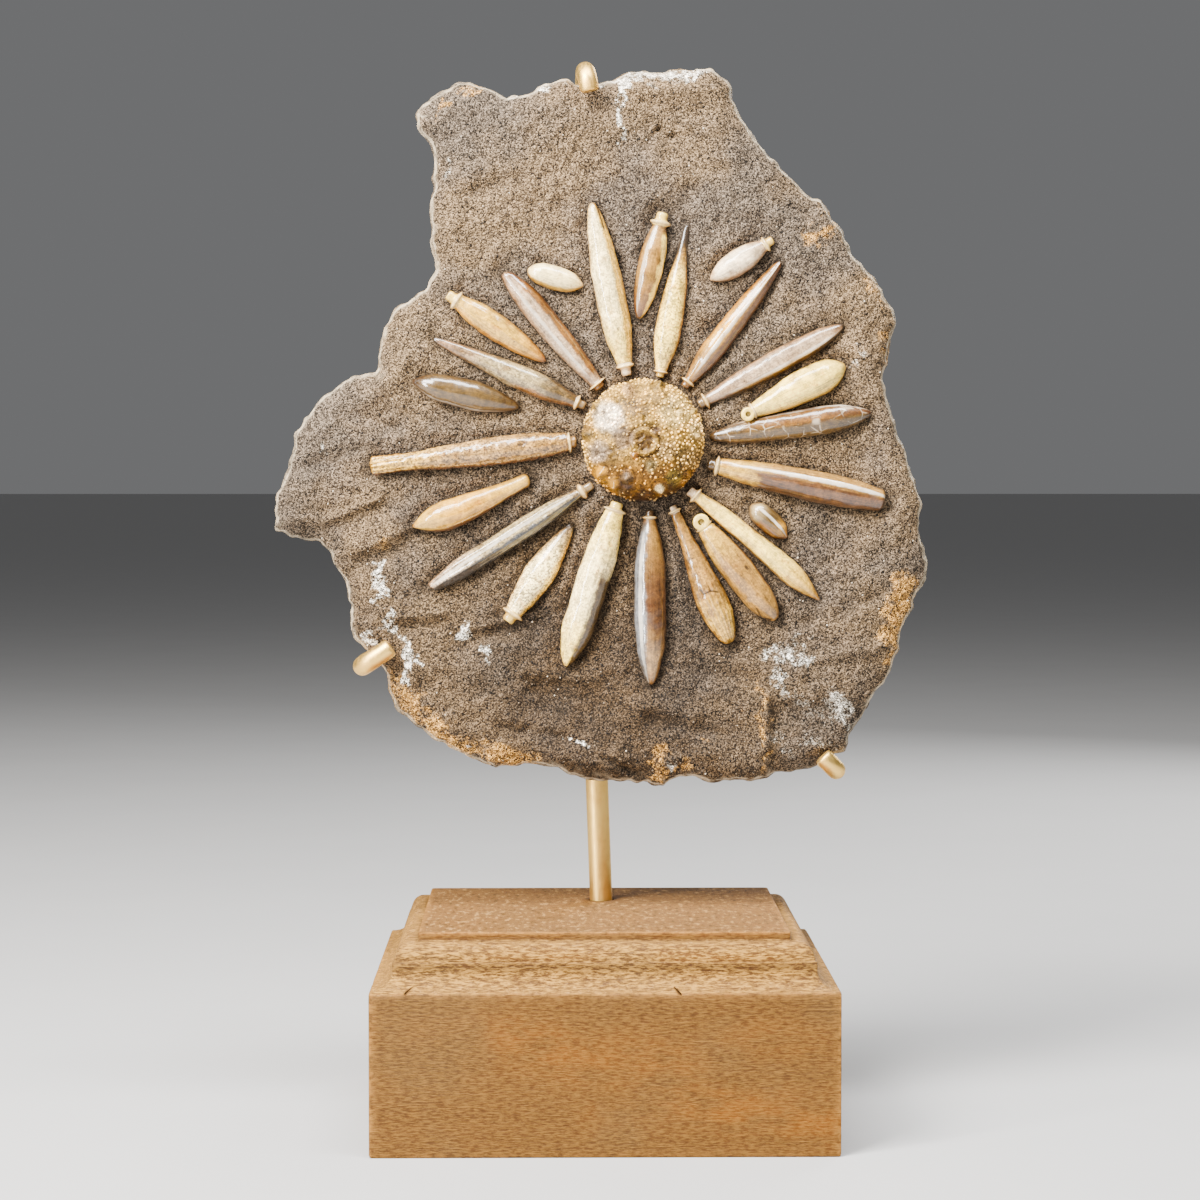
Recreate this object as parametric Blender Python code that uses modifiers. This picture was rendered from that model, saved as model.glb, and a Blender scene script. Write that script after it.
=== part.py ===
"""A fossil sea urchin on its slab of rock, held up by a brass claw stand on a wooden base.

The slab's face lies in the XZ plane and looks along -Y. Places on that face are given as
(across, up) in millimetres from the middle of the urchin's test. Z is up, and the origin is
the middle of the base's underside.
"""

import math

import bmesh
import bpy
from mathutils import Matrix, Vector, noise

MM = 0.001                    # metres in a millimetre
GAP = 0.3                     # left between pieces that touch

# Wooden base: a plain block with a moulding cut into its top edge
BASE_WIDTH = 112.0
BASE_DEPTH = 102.0
BLOCK_HEIGHT = 39.2           # up to the moulding
COVE_WIDTH = 5.3
COVE_HEIGHT = 4.4
RISER_HEIGHT = 2.0
STEP = 0.5                    # small square step under the ovolo
OVOLO_WIDTH = 3.4
OVOLO_HEIGHT = 4.3
LEDGE_WIDTH = 2.1
FILLET_HEIGHT = 2.1
BASE_HEIGHT = BLOCK_HEIGHT + COVE_HEIGHT + RISER_HEIGHT + OVOLO_HEIGHT + FILLET_HEIGHT
ARC_STEPS = 4                 # flats in each quarter round of the moulding

# Brass rods
POST_RADIUS = 2.9
POST_Y = 17.0
POST_FOOT_Z = 22.0            # the bottom of its hole in the base
POST_TOP_Z = 171.0
POST_LEAN = 0.0355            # to the left, per millimetre of height above the base
HOLE_CLEARANCE = 0.4
DRILL_ABOVE, DRILL_SIDES = 6.0, 16
ARM_RADIUS = 2.4
ARM_Y = 16.2                  # the arms' plane behind the slab
BACK_BEND = 5.0
CLAW_BEND = 3.6
BEND_STEPS = 5
ROD_RESOLUTION = 3

# Slab of rock
CENTRE_X = 10.15              # the middle of the urchin's test in the part's frame
CENTRE_Z = 170.3
FACE_Y = -5.0                 # mean plane of the slab's face
BACK_Y = 11.4
BACK_LIMIT_Y = 12.6
RIM_Y = 2.5                   # where the slab is widest
FACE_INSET = 0.9              # how far the face's edge lies inside the outline
BACK_INSET = 2.4
INSET_REACH = 9.0
GRID = 9.3                    # spacing of the facets
SHORTEST_EDGE = 1.3
OUTLINE = [
    (-66.5, 17), (-66.5, 22), (-64.5, 28.5), (-62.5, 33), (-58, 36), (-54.5, 38), (-52, 43),
    (-52.7, 47), (-53, 53), (-53, 59.5), (-52.5, 66), (-53, 73), (-56, 77.5), (-57, 81),
    (-54, 84.5), (-50.5, 87), (-45.5, 89.5), (-39, 88.5), (-34.5, 85.7), (-29, 86.5),
    (-23.8, 89.5), (-18.6, 90.5), (-17, 88.8), (-11.8, 88.8), (-8, 90), (-3.5, 92.5), (3, 92.3),
    (11, 93), (17.5, 93), (21, 90), (23, 85), (26, 78.7), (30, 72.6), (35, 68), (39, 63.2),
    (46, 58.8), (50.3, 52.3), (52.8, 46.7), (58.5, 39.6), (62.3, 33), (63.7, 29), (62.2, 24.4),
    (60.7, 15.6), (62, 10), (65, 1), (68, -7.7), (70.4, -16), (70, -22.7), (71.8, -30),
    (71, -35.5), (68, -42), (65.2, -48.5), (65.2, -52.7), (62.4, -58), (58.2, -65),
    (55.6, -70.4), (52.5, -74), (51.5, -79), (47.8, -79.4), (44.5, -82.3), (38, -84),
    (32, -85), (24, -86.3), (17, -86), (10, -84.5), (5.2, -87.7), (1.5, -86), (-6, -86),
    (-16, -85), (-23, -82), (-28, -81.4), (-37, -82.8), (-42, -80), (-46, -78), (-52, -75),
    (-58, -71), (-63, -66.5), (-64.7, -63), (-64.5, -59.5), (-65.4, -57), (-68.4, -54),
    (-71.5, -51), (-74, -47.5), (-73.3, -42), (-75, -35), (-79.5, -27), (-82, -25.4),
    (-88.5, -24.2), (-92.3, -22), (-92, -13), (-89, -7), (-87.3, 1.5), (-83, 7.8),
    (-78.5, 12.5), (-73, 16),
]

# Ridges (+) and troughs (-) of the slab's face: from, to, half width, height
FOLDS = [
    ((-84, -24.5), (-66, -17), 2.6, -1.3),
    ((-72, -31), (-55, -24), 2.6, -1.4),
    ((-72, -26.5), (-60, -20.5), 2.4, 0.8),
    ((-62, -47), (-50, -46), 2.2, -0.9),
    ((-45, -50), (-25, -46), 2.4, -1.1),
    ((-57, -57), (-42, -58), 3.0, 0.9),
    ((-25, -64), (-14, -67), 7.0, -2.2),
    ((-22, -80), (-8, -81), 3.2, 1.6),
    ((13, 63), (9, 56), 2.4, -0.8),
    ((-60, 20), (-68.5, 10), 2.2, 0.9),
]
CORNER_STEP = 2.2             # the lower right corner lies deeper than the rest
CORNER_LEFT, CORNER_TOP, CORNER_BLUR = 31.5, -66.0, 2.5
CHIPPED_FROM, CHIPPED_TO, CHIPPED_ABOVE, CHIPPED_SLOPE = -10.0, 13.0, 87.5, 0.45
DISH_DEPTH, DISH_RADIUS, DISH_RIM = 0.9, 52.0, 16.0

# The urchin's test, a flattened dome with a boss and nipple at each large tubercle
TEST_RADIUS = 15.4
TEST_HALF_HEIGHT = 10.5
TEST_STAND = 1.2              # its widest ring stands this far out of the face
TEST_SEGMENTS, TEST_RINGS = 20, 12
CROWN_RISE, PIT_DEPTH = 0.5, 0.9
TUBERCLES = [
    (-3.7, 12.3), (3.8, 13.4), (-11.4, 8.2), (9.1, 6.4), (12.6, 7.2), (13.2, 0.8),
    (-14.2, 1.3), (-4.2, -9.3), (4.2, -12.3), (11.2, -8.6), (-10.3, -8.3), (-6.9, -11.4),
]
BOSS_RADIUS, NIPPLE_RADIUS, TUBERCLE_HEIGHT, TUBERCLE_SIDES = 1.9, 0.8, 2.2, 6
TUBERCLE_PROUD = 0.5

# Spines. inner: the end at the button, or a fragment's first end. collar: where the flange is,
# None where there is none. widths: across the body at even steps from the collar to the tip.
# stand: how far the axis lies above the face at the two ends.
SPINE_SIDES = 8
SPINES = [
    dict(inner=(-4.0, 16.1), collar=(-4.5, 18.8), flange=4.5, tip=(-12.8, 59.0),
         widths=(3.9, 7.1, 7.5, 7.1, 5.4, 2.2), stand=(0.6, 0.5), colour="ivory"),
    dict(inner=(4.9, 56.6), collar=(4.3, 53.7), flange=5.2, tip=(-1.1, 30.2),
         widths=(3.4, 5.9, 6.4, 6.0, 4.7, 1.6), stand=(0.5, 0.3), colour="tan"),
    dict(inner=(4.2, 15.7), collar=(4.6, 17.2), flange=3.6, tip=(11.0, 53.6),
         widths=(3.2, 6.3, 6.4, 5.2, 2.9, 1.6), stand=(0.3, -0.6), colour="cream"),
    dict(inner=(32.3, 49.9), collar=(30.8, 48.1), flange=4.0, tip=(16.8, 39.9),
         widths=(3.2, 5.4, 6.4, 6.2, 4.8, 1.6), stand=(0.4, 0.2), colour="lilac"),
    dict(inner=(10.3, 13.2), collar=(11.3, 14.7), flange=3.9, tip=(34.4, 44.5),
         widths=(2.6, 5.6, 5.8, 5.2, 3.9, 1.6), stand=(0.2, -0.2), colour="amber"),
    dict(inner=(13.9, 8.8), collar=(15.7, 10.0), flange=4.4, tip=(50.4, 28.8),
         widths=(2.8, 5.4, 6.2, 6.2, 5.4, 1.8), stand=(0.0, -0.6), colour="olive"),
    dict(inner=(25.3, 6.2), collar=(27.8, 7.0), flange=4.2, tip=(50.5, 18.6),
         widths=(4.0, 6.0, 7.7, 8.3, 7.6, 3.0), stand=(0.8, 0.6), colour="cream"),
    dict(inner=(16.6, 0.7), collar=None, flange=0, tip=(57.1, 6.8),
         widths=(1.8, 5.6, 6.6, 7.2, 6.8, 2.2), stand=(0.2, 0.4), colour="brown"),
    dict(inner=(16.2, -6.0), collar=(18.8, -6.7), flange=4.9, tip=(60.4, -15.2),
         widths=(4.2, 6.2, 7.4, 7.9, 7.4, 5.2), stand=(0.3, 0.1), colour="brown"),
    dict(inner=(27.0, -16.2), collar=None, flange=0, tip=(36.0, -24.4),
         widths=(2.4, 5.2, 5.8, 5.6, 4.6, 1.4), stand=(0.2, 0.2), colour="plum"),
    dict(inner=(11.5, -12.6), collar=(13.5, -13.9), flange=4.4, tip=(44.2, -40.0),
         widths=(3.0, 4.4, 4.6, 5.5, 5.4, 1.0), stand=(0.4, 0.2), colour="cream"),
    dict(inner=(14.0, -19.9), collar=(15.5, -21.8), flange=4.6, tip=(33.4, -44.9),
         widths=(4.4, 6.9, 8.1, 8.2, 7.2, 3.4), stand=(0.6, 0.6), colour="tan"),
    dict(inner=(7.4, -16.5), collar=(7.6, -18.0), flange=3.4, tip=(21.7, -50.5),
         widths=(2.4, 3.6, 5.6, 7.3, 7.0, 3.2), stand=(0.6, 0.5), colour="tan"),
    dict(inner=(1.7, -17.6), collar=(1.7, -19.6), flange=3.7, tip=(2.0, -61.2),
         widths=(3.2, 6.8, 8.1, 8.0, 6.6, 2.4), stand=(0.0, 0.0), colour="slate"),
    dict(inner=(-6.4, -15.5), collar=(-7.3, -17.7), flange=5.7, tip=(-19.3, -56.6),
         widths=(4.8, 7.5, 8.3, 8.1, 7.4, 2.4), stand=(0.8, 0.7), colour="ivory"),
    dict(inner=(-34.0, -45.4), collar=(-32.4, -43.3), flange=5.5, tip=(-17.6, -21.0),
         widths=(4.4, 6.8, 7.8, 6.9, 4.8, 1.8), stand=(0.6, -0.8), colour="ivory"),
    dict(inner=(-12.6, -11.1), collar=(-15.5, -13.1), flange=4.1, tip=(-53.0, -37.0),
         widths=(2.4, 4.8, 5.5, 5.3, 5.2, 2.6), stand=(0.0, 0.2), colour="slate"),
    dict(inner=(-28.4, -9.6), collar=None, flange=0, tip=(-57.5, -21.6),
         widths=(3.4, 4.2, 5.8, 7.2, 7.1, 1.6), stand=(0.5, 0.4), colour="amber"),
    dict(inner=(-16.7, -0.3), collar=(-18.6, -0.7), flange=4.9, tip=(-67.8, -6.6),
         widths=(4.8, 6.9, 6.9, 5.9, 4.5, 4.2), stand=(0.6, 0.6), colour="tan"),
    dict(inner=(-30.9, 8.2), collar=None, flange=0, tip=(-57.6, 14.7),
         widths=(1.6, 5.4, 7.5, 7.2, 6.3, 1.6), stand=(0.0, 0.2), colour="olive"),
    dict(inner=(-14.5, 8.5), collar=(-16.8, 9.3), flange=3.9, tip=(-52.3, 25.2),
         widths=(3.0, 5.9, 6.1, 4.9, 3.4, 1.4), stand=(0.0, -0.2), colour="lilac"),
    dict(inner=(-48.7, 36.2), collar=(-46.1, 34.6), flange=4.9, tip=(-24.2, 19.6),
         widths=(3.8, 6.2, 6.6, 5.9, 4.2, 1.4), stand=(0.5, 0.0), colour="amber"),
    dict(inner=(-10.6, 13.0), collar=(-11.5, 14.2), flange=4.9, tip=(-34.4, 41.9),
         widths=(3.2, 5.2, 6.2, 6.5, 6.0, 2.8), stand=(0.2, -0.6), colour="lilac"),
    dict(inner=(-28.8, 42.2), collar=None, flange=0, tip=(-15.0, 38.4),
         widths=(2.4, 5.2, 6.0, 5.8, 4.8, 1.8), stand=(0.5, 0.5), colour="ivory"),
]

# Base colour (linear), roughness and metallic value of each material
FINISHES = {
    "wood": ((0.33, 0.18, 0.09, 1), 0.55, 0.0),
    "brass": ((0.71, 0.50, 0.24, 1), 0.32, 1.0),
    "rock": ((0.25, 0.20, 0.15, 1), 0.92, 0.0),
    "test": ((0.52, 0.38, 0.20, 1), 0.70, 0.0),
    "ivory": ((0.72, 0.62, 0.45, 1), 0.40, 0.0),
    "cream": ((0.68, 0.52, 0.30, 1), 0.40, 0.0),
    "tan": ((0.50, 0.34, 0.18, 1), 0.42, 0.0),
    "amber": ((0.52, 0.30, 0.11, 1), 0.35, 0.0),
    "olive": ((0.32, 0.25, 0.15, 1), 0.35, 0.0),
    "brown": ((0.34, 0.20, 0.10, 1), 0.32, 0.0),
    "plum": ((0.36, 0.24, 0.18, 1), 0.32, 0.0),
    "lilac": ((0.46, 0.39, 0.35, 1), 0.35, 0.0),
    "slate": ((0.30, 0.28, 0.28, 1), 0.30, 0.0),
}


def clear_scene():
    for thing in list(bpy.data.objects):
        bpy.data.objects.remove(thing)


def collection(name):
    made = bpy.data.collections.new(name)
    bpy.context.scene.collection.children.link(made)
    return made


def material(finish):
    """The named finish as a material, made once."""
    found = bpy.data.materials.get(finish)
    if found:
        return found
    colour, roughness, metallic = FINISHES[finish]
    made = bpy.data.materials.new(finish)
    made.use_nodes = True
    shader = made.node_tree.nodes["Principled BSDF"]
    shader.inputs["Base Color"].default_value = colour
    shader.inputs["Roughness"].default_value = roughness
    shader.inputs["Metallic"].default_value = metallic
    return made


def new_object(name, data, finish, home):
    made = bpy.data.objects.new(name, data)
    data.materials.append(material(finish))
    home.objects.link(made)
    return made


def mesh_from(bm, name):
    mesh = bpy.data.meshes.new(name)
    bm.to_mesh(mesh)
    bm.free()
    return mesh


def as_cutter(thing):
    thing.hide_render = True
    thing.display_type = "WIRE"
    return thing


def on_face(across, up, y):
    """A point in metres, from its place on the slab's face and its depth in millimetres."""
    return Vector((CENTRE_X + across, y, CENTRE_Z + up)) * MM


# ---------------------------------------------------------------- the slab's shape

def to_segment(point, start, end):
    """Distance from point to the line between start and end, and the nearest point on it."""
    point, start, end = Vector(point), Vector(start), Vector(end)
    along = end - start
    share = max(0.0, min(1.0, (point - start).dot(along) / along.length_squared))
    nearest = start + along * share
    return (point - nearest).length, nearest


def from_edge(across, up):
    """Distance to the outline, and the unit direction that leads inwards there."""
    best = (1e9, None, None)
    for i, corner in enumerate(OUTLINE):
        following = OUTLINE[(i + 1) % len(OUTLINE)]
        distance, nearest = to_segment((across, up), corner, following)
        if distance < best[0] - 1e-6:
            best = (distance, nearest, Vector(following) - Vector(corner))
    distance, nearest, along = best
    inwards = Vector((along.y, -along.x)).normalized()
    return distance, inwards


def smooth_step(value, low, high):
    share = max(0.0, min(1.0, (value - low) / (high - low)))
    return share * share * (3 - 2 * share)


def fold_height(across, up):
    total = 0.0
    for start, end, half_width, height in FOLDS:
        distance, _ = to_segment((across, up), start, end)
        total += height * math.exp(-(distance / half_width) ** 2)
    return total


def relief(across, up, edge):
    """How far the face stands out of its mean plane. edge: distance to the outline."""
    height = 1.1 * noise.noise(Vector((across, up, 40)) / 24)
    height += 0.5 * noise.noise(Vector((across, up, 90)) / 9)
    height += fold_height(across, up)
    height -= 2.2 * max(0.0, 1 - edge / 7) ** 2
    out_of_dish = smooth_step(math.hypot(across, up), DISH_RADIUS, DISH_RADIUS + DISH_RIM)
    height -= DISH_DEPTH * (1 - out_of_dish)
    in_corner = smooth_step(across - CORNER_LEFT, -CORNER_BLUR, CORNER_BLUR)
    in_corner *= smooth_step(CORNER_TOP - up, -CORNER_BLUR, CORNER_BLUR)
    height -= CORNER_STEP * in_corner
    if CHIPPED_FROM < across < CHIPPED_TO:
        height -= CHIPPED_SLOPE * max(0.0, up - CHIPPED_ABOVE)
    return height


def face_y(across, up):
    edge, _ = from_edge(across, up)
    return FACE_Y - relief(across, up, edge)


def back_y(across, up, edge):
    y = BACK_Y + 1.2 * noise.noise(Vector((across, up, -70)) / 20)
    y += 0.6 * noise.noise(Vector((across, up, -20)) / 8)
    return min(BACK_LIMIT_Y, y - 3.4 * max(0.0, 1 - edge / 15) ** 2)


def slab_prism():
    """The outline as a flat-sided prism, cut across by the grid of facet lines."""
    curve = bpy.data.curves.new("slab_outline", "CURVE")
    curve.dimensions = "2D"
    curve.fill_mode = "BOTH"
    curve.extrude = (BACK_Y - FACE_Y) / 2 * MM
    spline = curve.splines.new("POLY")
    spline.points.add(len(OUTLINE) - 1)
    for point, (across, up) in zip(spline.points, OUTLINE):
        point.co = (across * MM, up * MM, 0, 1)
    spline.use_cyclic_u = True
    holder = bpy.data.objects.new("slab_outline", curve)
    bpy.context.scene.collection.objects.link(holder)
    bpy.context.view_layer.update()
    seen = bpy.context.evaluated_depsgraph_get()
    flat = bpy.data.meshes.new_from_object(holder.evaluated_get(seen))
    bpy.data.objects.remove(holder)
    bm = bmesh.new()
    bm.from_mesh(flat)
    bpy.data.meshes.remove(flat)
    bmesh.ops.remove_doubles(bm, verts=bm.verts, dist=1e-5)
    bmesh.ops.dissolve_limit(bm, angle_limit=0.001, verts=bm.verts, edges=bm.edges)
    upright = Matrix.Rotation(math.pi / 2, 4, "X")
    into_place = Matrix.Translation((0, (FACE_Y + BACK_Y) / 2 * MM, 0))
    bmesh.ops.transform(bm, matrix=into_place @ upright, verts=bm.verts)
    lowest = [min(corner[axis] for corner in OUTLINE) for axis in (0, 1)]
    highest = [max(corner[axis] for corner in OUTLINE) for axis in (0, 1)]
    for axis, normal in ((0, Vector((1, 0, 0))), (1, Vector((0, 0, 1)))):
        cuts = int((highest[axis] - lowest[axis]) / GRID)
        for i in range(1, cuts + 1):
            spot = normal * (lowest[axis] + i * (highest[axis] - lowest[axis]) / (cuts + 1)) * MM
            bmesh.ops.bisect_plane(bm, geom=bm.verts[:] + bm.edges[:] + bm.faces[:],
                                   plane_co=spot, plane_no=normal, dist=1e-6)
    bmesh.ops.remove_doubles(bm, verts=bm.verts, dist=SHORTEST_EDGE * MM)
    bmesh.ops.bisect_plane(bm, geom=bm.verts[:] + bm.edges[:] + bm.faces[:],
                           plane_co=(0, RIM_Y * MM, 0), plane_no=(0, 1, 0), dist=1e-6)
    return bm


def shape_slab(bm):
    """Moves the prism's corners onto the slab's rough face, rim and back."""
    for vert in bm.verts:
        across, y, up = vert.co / MM
        edge, inwards = from_edge(across, up)
        shift = max(0.0, 1 - edge / INSET_REACH)
        if y < RIM_Y - 1:
            shift *= FACE_INSET
            y = FACE_Y - relief(across, up, edge)
        elif y > RIM_Y + 1:
            shift *= BACK_INSET
            y = back_y(across, up, edge)
        else:
            shift = 0.0
            y += 1.5 * noise.noise(Vector((across, up, 15)) / 12)
        vert.co = on_face(across + inwards.x * shift, up + inwards.y * shift, y)
    bmesh.ops.triangulate(bm, faces=bm.faces)
    bmesh.ops.recalc_face_normals(bm, faces=bm.faces)


def rock_matrix(home, sockets):
    bm = slab_prism()
    shape_slab(bm)
    slab = new_object("rock_matrix", mesh_from(bm, "rock_matrix"), "rock", home)
    cut = slab.modifiers.new("sockets", "BOOLEAN")
    cut.operation = "DIFFERENCE"
    cut.operand_type = "COLLECTION"
    cut.collection = sockets


# ---------------------------------------------------------------- fossils

def test_dome(grow):
    """The urchin's test as a flattened dome, its pole towards -Y, larger all round by grow."""
    bm = bmesh.new()
    bmesh.ops.create_uvsphere(bm, u_segments=TEST_SEGMENTS, v_segments=TEST_RINGS, radius=1)
    wide, high = TEST_RADIUS + grow, TEST_HALF_HEIGHT + grow
    pole_angle = math.pi / TEST_RINGS
    for vert in bm.verts:
        slope = math.acos(max(-1.0, min(1.0, vert.co.z)))
        vert.co = Vector((vert.co.x * wide, vert.co.y * wide, vert.co.z * high))
        if slope < pole_angle / 2:
            vert.co.z -= PIT_DEPTH
        elif slope < pole_angle * 1.5:
            vert.co.z += CROWN_RISE
    facing = Matrix.Rotation(math.pi / 2, 4, "X") @ Matrix.Scale(MM, 4)
    bmesh.ops.transform(bm, matrix=Matrix.Translation(test_centre()) @ facing, verts=bm.verts)
    return bm


def test_centre():
    return on_face(0, 0, FACE_Y + DISH_DEPTH - TEST_STAND)


def tubercle(across, up, number, guides):
    """A boss with a nipple, standing square on the dome."""
    height = TEST_HALF_HEIGHT * math.sqrt(1 - (across ** 2 + up ** 2) / TEST_RADIUS ** 2)
    outwards = Vector((across, -height * (TEST_RADIUS / TEST_HALF_HEIGHT) ** 2, up))
    bm = bmesh.new()
    bmesh.ops.create_cone(bm, cap_ends=True, segments=TUBERCLE_SIDES, radius1=BOSS_RADIUS * MM,
                          radius2=NIPPLE_RADIUS * MM, depth=TUBERCLE_HEIGHT * MM)
    boss = new_object(f"boss_{number:02d}", mesh_from(bm, "boss"), "test", guides)
    proud = outwards.normalized() * TUBERCLE_PROUD
    boss.location = test_centre() + (Vector((across, -height, up)) + proud) * MM
    boss.rotation_mode = "QUATERNION"
    boss.rotation_quaternion = outwards.to_track_quat("Z", "Y")
    as_cutter(boss)


def urchin_test(home, sockets, guides):
    shell = new_object("urchin_test", mesh_from(test_dome(0), "urchin_test"), "test", home)
    for number, (across, up) in enumerate(TUBERCLES, 1):
        tubercle(across, up, number, guides)
    grown = shell.modifiers.new("tubercles", "BOOLEAN")
    grown.operation = "UNION"
    grown.operand_type = "COLLECTION"
    grown.collection = guides
    socket = new_object("test_socket", mesh_from(test_dome(GAP), "test_socket"), "rock", sockets)
    as_cutter(socket)


def spine_profile(spine, length, body_from, grow):
    """(radius, distance from the inner end) pairs of a spine's outline, inner end first."""
    half = [width / 2 + grow for width in spine["widths"]]
    points = [(0.0, -grow)]
    if spine["collar"] and grow:
        around = spine["flange"] / 2 + grow
        points += [(around, -grow), (around, body_from + 0.6)]
    elif spine["collar"]:
        button = spine["flange"] * 0.3
        points += [(button, 0.0), (spine["flange"] * 0.36, body_from - 0.5),
                   (spine["flange"] / 2, body_from), (half[0], body_from + 0.4)]
    else:
        points.append((half[0], -grow))
    steps = len(half) - 1
    for i in range(1, steps):
        points.append((half[i], body_from + (length - body_from) * i / steps))
    points += [(half[-1], length + grow), (0.0, length + grow)]
    return points


def spine_object(name, spine, grow, home, finish):
    """A spine as a turned solid, laid along its axis on the slab's face."""
    ends = []
    for (across, up), stand in zip((spine["inner"], spine["tip"]), spine["stand"]):
        ends.append(on_face(across, up, face_y(across, up) - stand))
    axis = ends[1] - ends[0]
    length = axis.length / MM
    body_from = 0.0
    if spine["collar"]:
        body_from = (Vector(spine["collar"]) - Vector(spine["inner"])).length
    profile = spine_profile(spine, length, body_from, grow)
    bm = bmesh.new()
    corners = [bm.verts.new((radius * MM, 0, along * MM)) for radius, along in reversed(profile)]
    for upper, lower in zip(corners, corners[1:]):
        bm.edges.new((upper, lower))
    made = new_object(name, mesh_from(bm, name), finish, home)
    made.location = ends[0]
    made.rotation_mode = "QUATERNION"
    made.rotation_quaternion = axis.to_track_quat("Z", "Y")
    turn = made.modifiers.new("turned", "SCREW")
    turn.steps = turn.render_steps = SPINE_SIDES
    turn.use_merge_vertices = True
    turn.merge_threshold = 0.00001
    turn.use_smooth_shade = True
    return made


def spines(home, sockets):
    for number, spine in enumerate(SPINES, 1):
        spine_object(f"spine_{number:02d}", spine, 0.0, home, spine["colour"])
        as_cutter(spine_object(f"socket_{number:02d}", spine, GAP, sockets, "rock"))


# ---------------------------------------------------------------- stand

def base_profile():
    """(distance in from the block's side, height) pairs up the moulding."""
    points = [(0.0, BLOCK_HEIGHT)]
    for i in range(1, ARC_STEPS + 1):
        turn = math.pi / 2 * i / ARC_STEPS
        points.append((COVE_WIDTH * math.sin(turn), BLOCK_HEIGHT + COVE_HEIGHT * (1 - math.cos(turn))))
    ovolo_foot = BLOCK_HEIGHT + COVE_HEIGHT + RISER_HEIGHT
    points.append((COVE_WIDTH, ovolo_foot))
    points.append((COVE_WIDTH + STEP, ovolo_foot))
    for i in range(1, ARC_STEPS + 1):
        turn = math.pi / 2 * i / ARC_STEPS
        inset = COVE_WIDTH + STEP + OVOLO_WIDTH * (1 - math.cos(turn))
        points.append((inset, ovolo_foot + OVOLO_HEIGHT * math.sin(turn)))
    plateau_inset = COVE_WIDTH + STEP + OVOLO_WIDTH + LEDGE_WIDTH
    points.append((plateau_inset, BASE_HEIGHT - FILLET_HEIGHT))
    points.append((plateau_inset, BASE_HEIGHT))
    return points


def post_point(z, off=0.0):
    """The post's centre at a height, or a point off to its right."""
    return Vector((-POST_LEAN * (z - BASE_HEIGHT) + off, POST_Y, z)) * MM


def wooden_base(home, cutters):
    bm = bmesh.new()
    bmesh.ops.create_cube(bm, size=1)
    size = Vector((BASE_WIDTH, BASE_DEPTH, BLOCK_HEIGHT)) * MM
    bmesh.ops.scale(bm, vec=size, verts=bm.verts)
    bmesh.ops.translate(bm, vec=(0, 0, size.z / 2), verts=bm.verts)
    for inset, height in base_profile()[1:]:
        top = max(bm.faces, key=lambda face: face.calc_center_median().z)
        raised = bmesh.ops.extrude_face_region(bm, geom=[top])
        bmesh.ops.delete(bm, geom=[top], context="FACES_ONLY")
        for vert in (item for item in raised["geom"] if isinstance(item, bmesh.types.BMVert)):
            half_x, half_y = BASE_WIDTH / 2 - inset, BASE_DEPTH / 2 - inset
            x, y = math.copysign(half_x, vert.co.x), math.copysign(half_y, vert.co.y)
            vert.co = Vector((x, y, height)) * MM
    bmesh.ops.recalc_face_normals(bm, faces=bm.faces)
    base = new_object("wooden_base", mesh_from(bm, "wooden_base"), "wood", home)

    bm = bmesh.new()
    top, foot = post_point(BASE_HEIGHT + DRILL_ABOVE), post_point(POST_FOOT_Z)
    radius = (POST_RADIUS + HOLE_CLEARANCE) * MM
    bmesh.ops.create_cone(bm, cap_ends=True, segments=DRILL_SIDES, radius1=radius,
                          radius2=radius, depth=(top - foot).length)
    drill = new_object("post_hole", mesh_from(bm, "post_hole"), "wood", cutters)
    drill.location = (top + foot) / 2
    drill.rotation_mode = "QUATERNION"
    drill.rotation_quaternion = (top - foot).to_track_quat("Z", "Y")
    as_cutter(drill)
    hole = base.modifiers.new("post_hole", "BOOLEAN")
    hole.operation = "DIFFERENCE"
    hole.object = drill


def rounded_route(corners, radii):
    """Points along straight runs between the corners, each inner corner rounded by its radius."""
    route = [corners[0]]
    for before, corner, after, radius in zip(corners, corners[1:], corners[2:], radii):
        back, ahead = (before - corner).normalized(), (after - corner).normalized()
        half_angle = back.angle(ahead) / 2
        reach = radius / math.tan(half_angle)
        centre = corner + (back + ahead).normalized() * radius / math.sin(half_angle)
        start = (corner + back * reach - centre).normalized()
        end = (corner + ahead * reach - centre).normalized()
        for i in range(BEND_STEPS + 1):
            route.append(centre + start.slerp(end, i / BEND_STEPS) * radius)
    route.append(corners[-1])
    return route


def rod(name, route, radius, home):
    """A brass rod along a route of points in metres."""
    curve = bpy.data.curves.new(name, "CURVE")
    curve.dimensions = "3D"
    curve.bevel_depth = radius * MM
    curve.bevel_resolution = ROD_RESOLUTION
    curve.use_fill_caps = True
    spline = curve.splines.new("POLY")
    spline.points.add(len(route) - 1)
    for point, place in zip(spline.points, route):
        point.co = (*place, 1)
    spline.use_smooth = True
    new_object(name, curve, "brass", home)


def claw_y(start, end):
    """Depth of a claw's front leg that keeps it just clear of the face under it."""
    highest = 0.0
    for i in range(7):
        across, up = Vector(start).lerp(Vector(end), i / 6)
        for side in (-ARM_RADIUS, 0, ARM_RADIUS):
            highest = min(highest, face_y(across + side, up), face_y(across, up + side))
    return highest - ARM_RADIUS - GAP


def claw(name, from_post, corner, tip, home):
    """An arm from the post that passes behind the slab, round its edge and onto its face."""
    front = claw_y(corner, tip)
    corners = [*from_post, on_face(*corner, ARM_Y), on_face(*corner, front), on_face(*tip, front)]
    radii = [BACK_BEND * MM] * (len(from_post) - 1) + [BACK_BEND * MM, CLAW_BEND * MM]
    rod(name, rounded_route(corners, radii), ARM_RADIUS, home)


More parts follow.
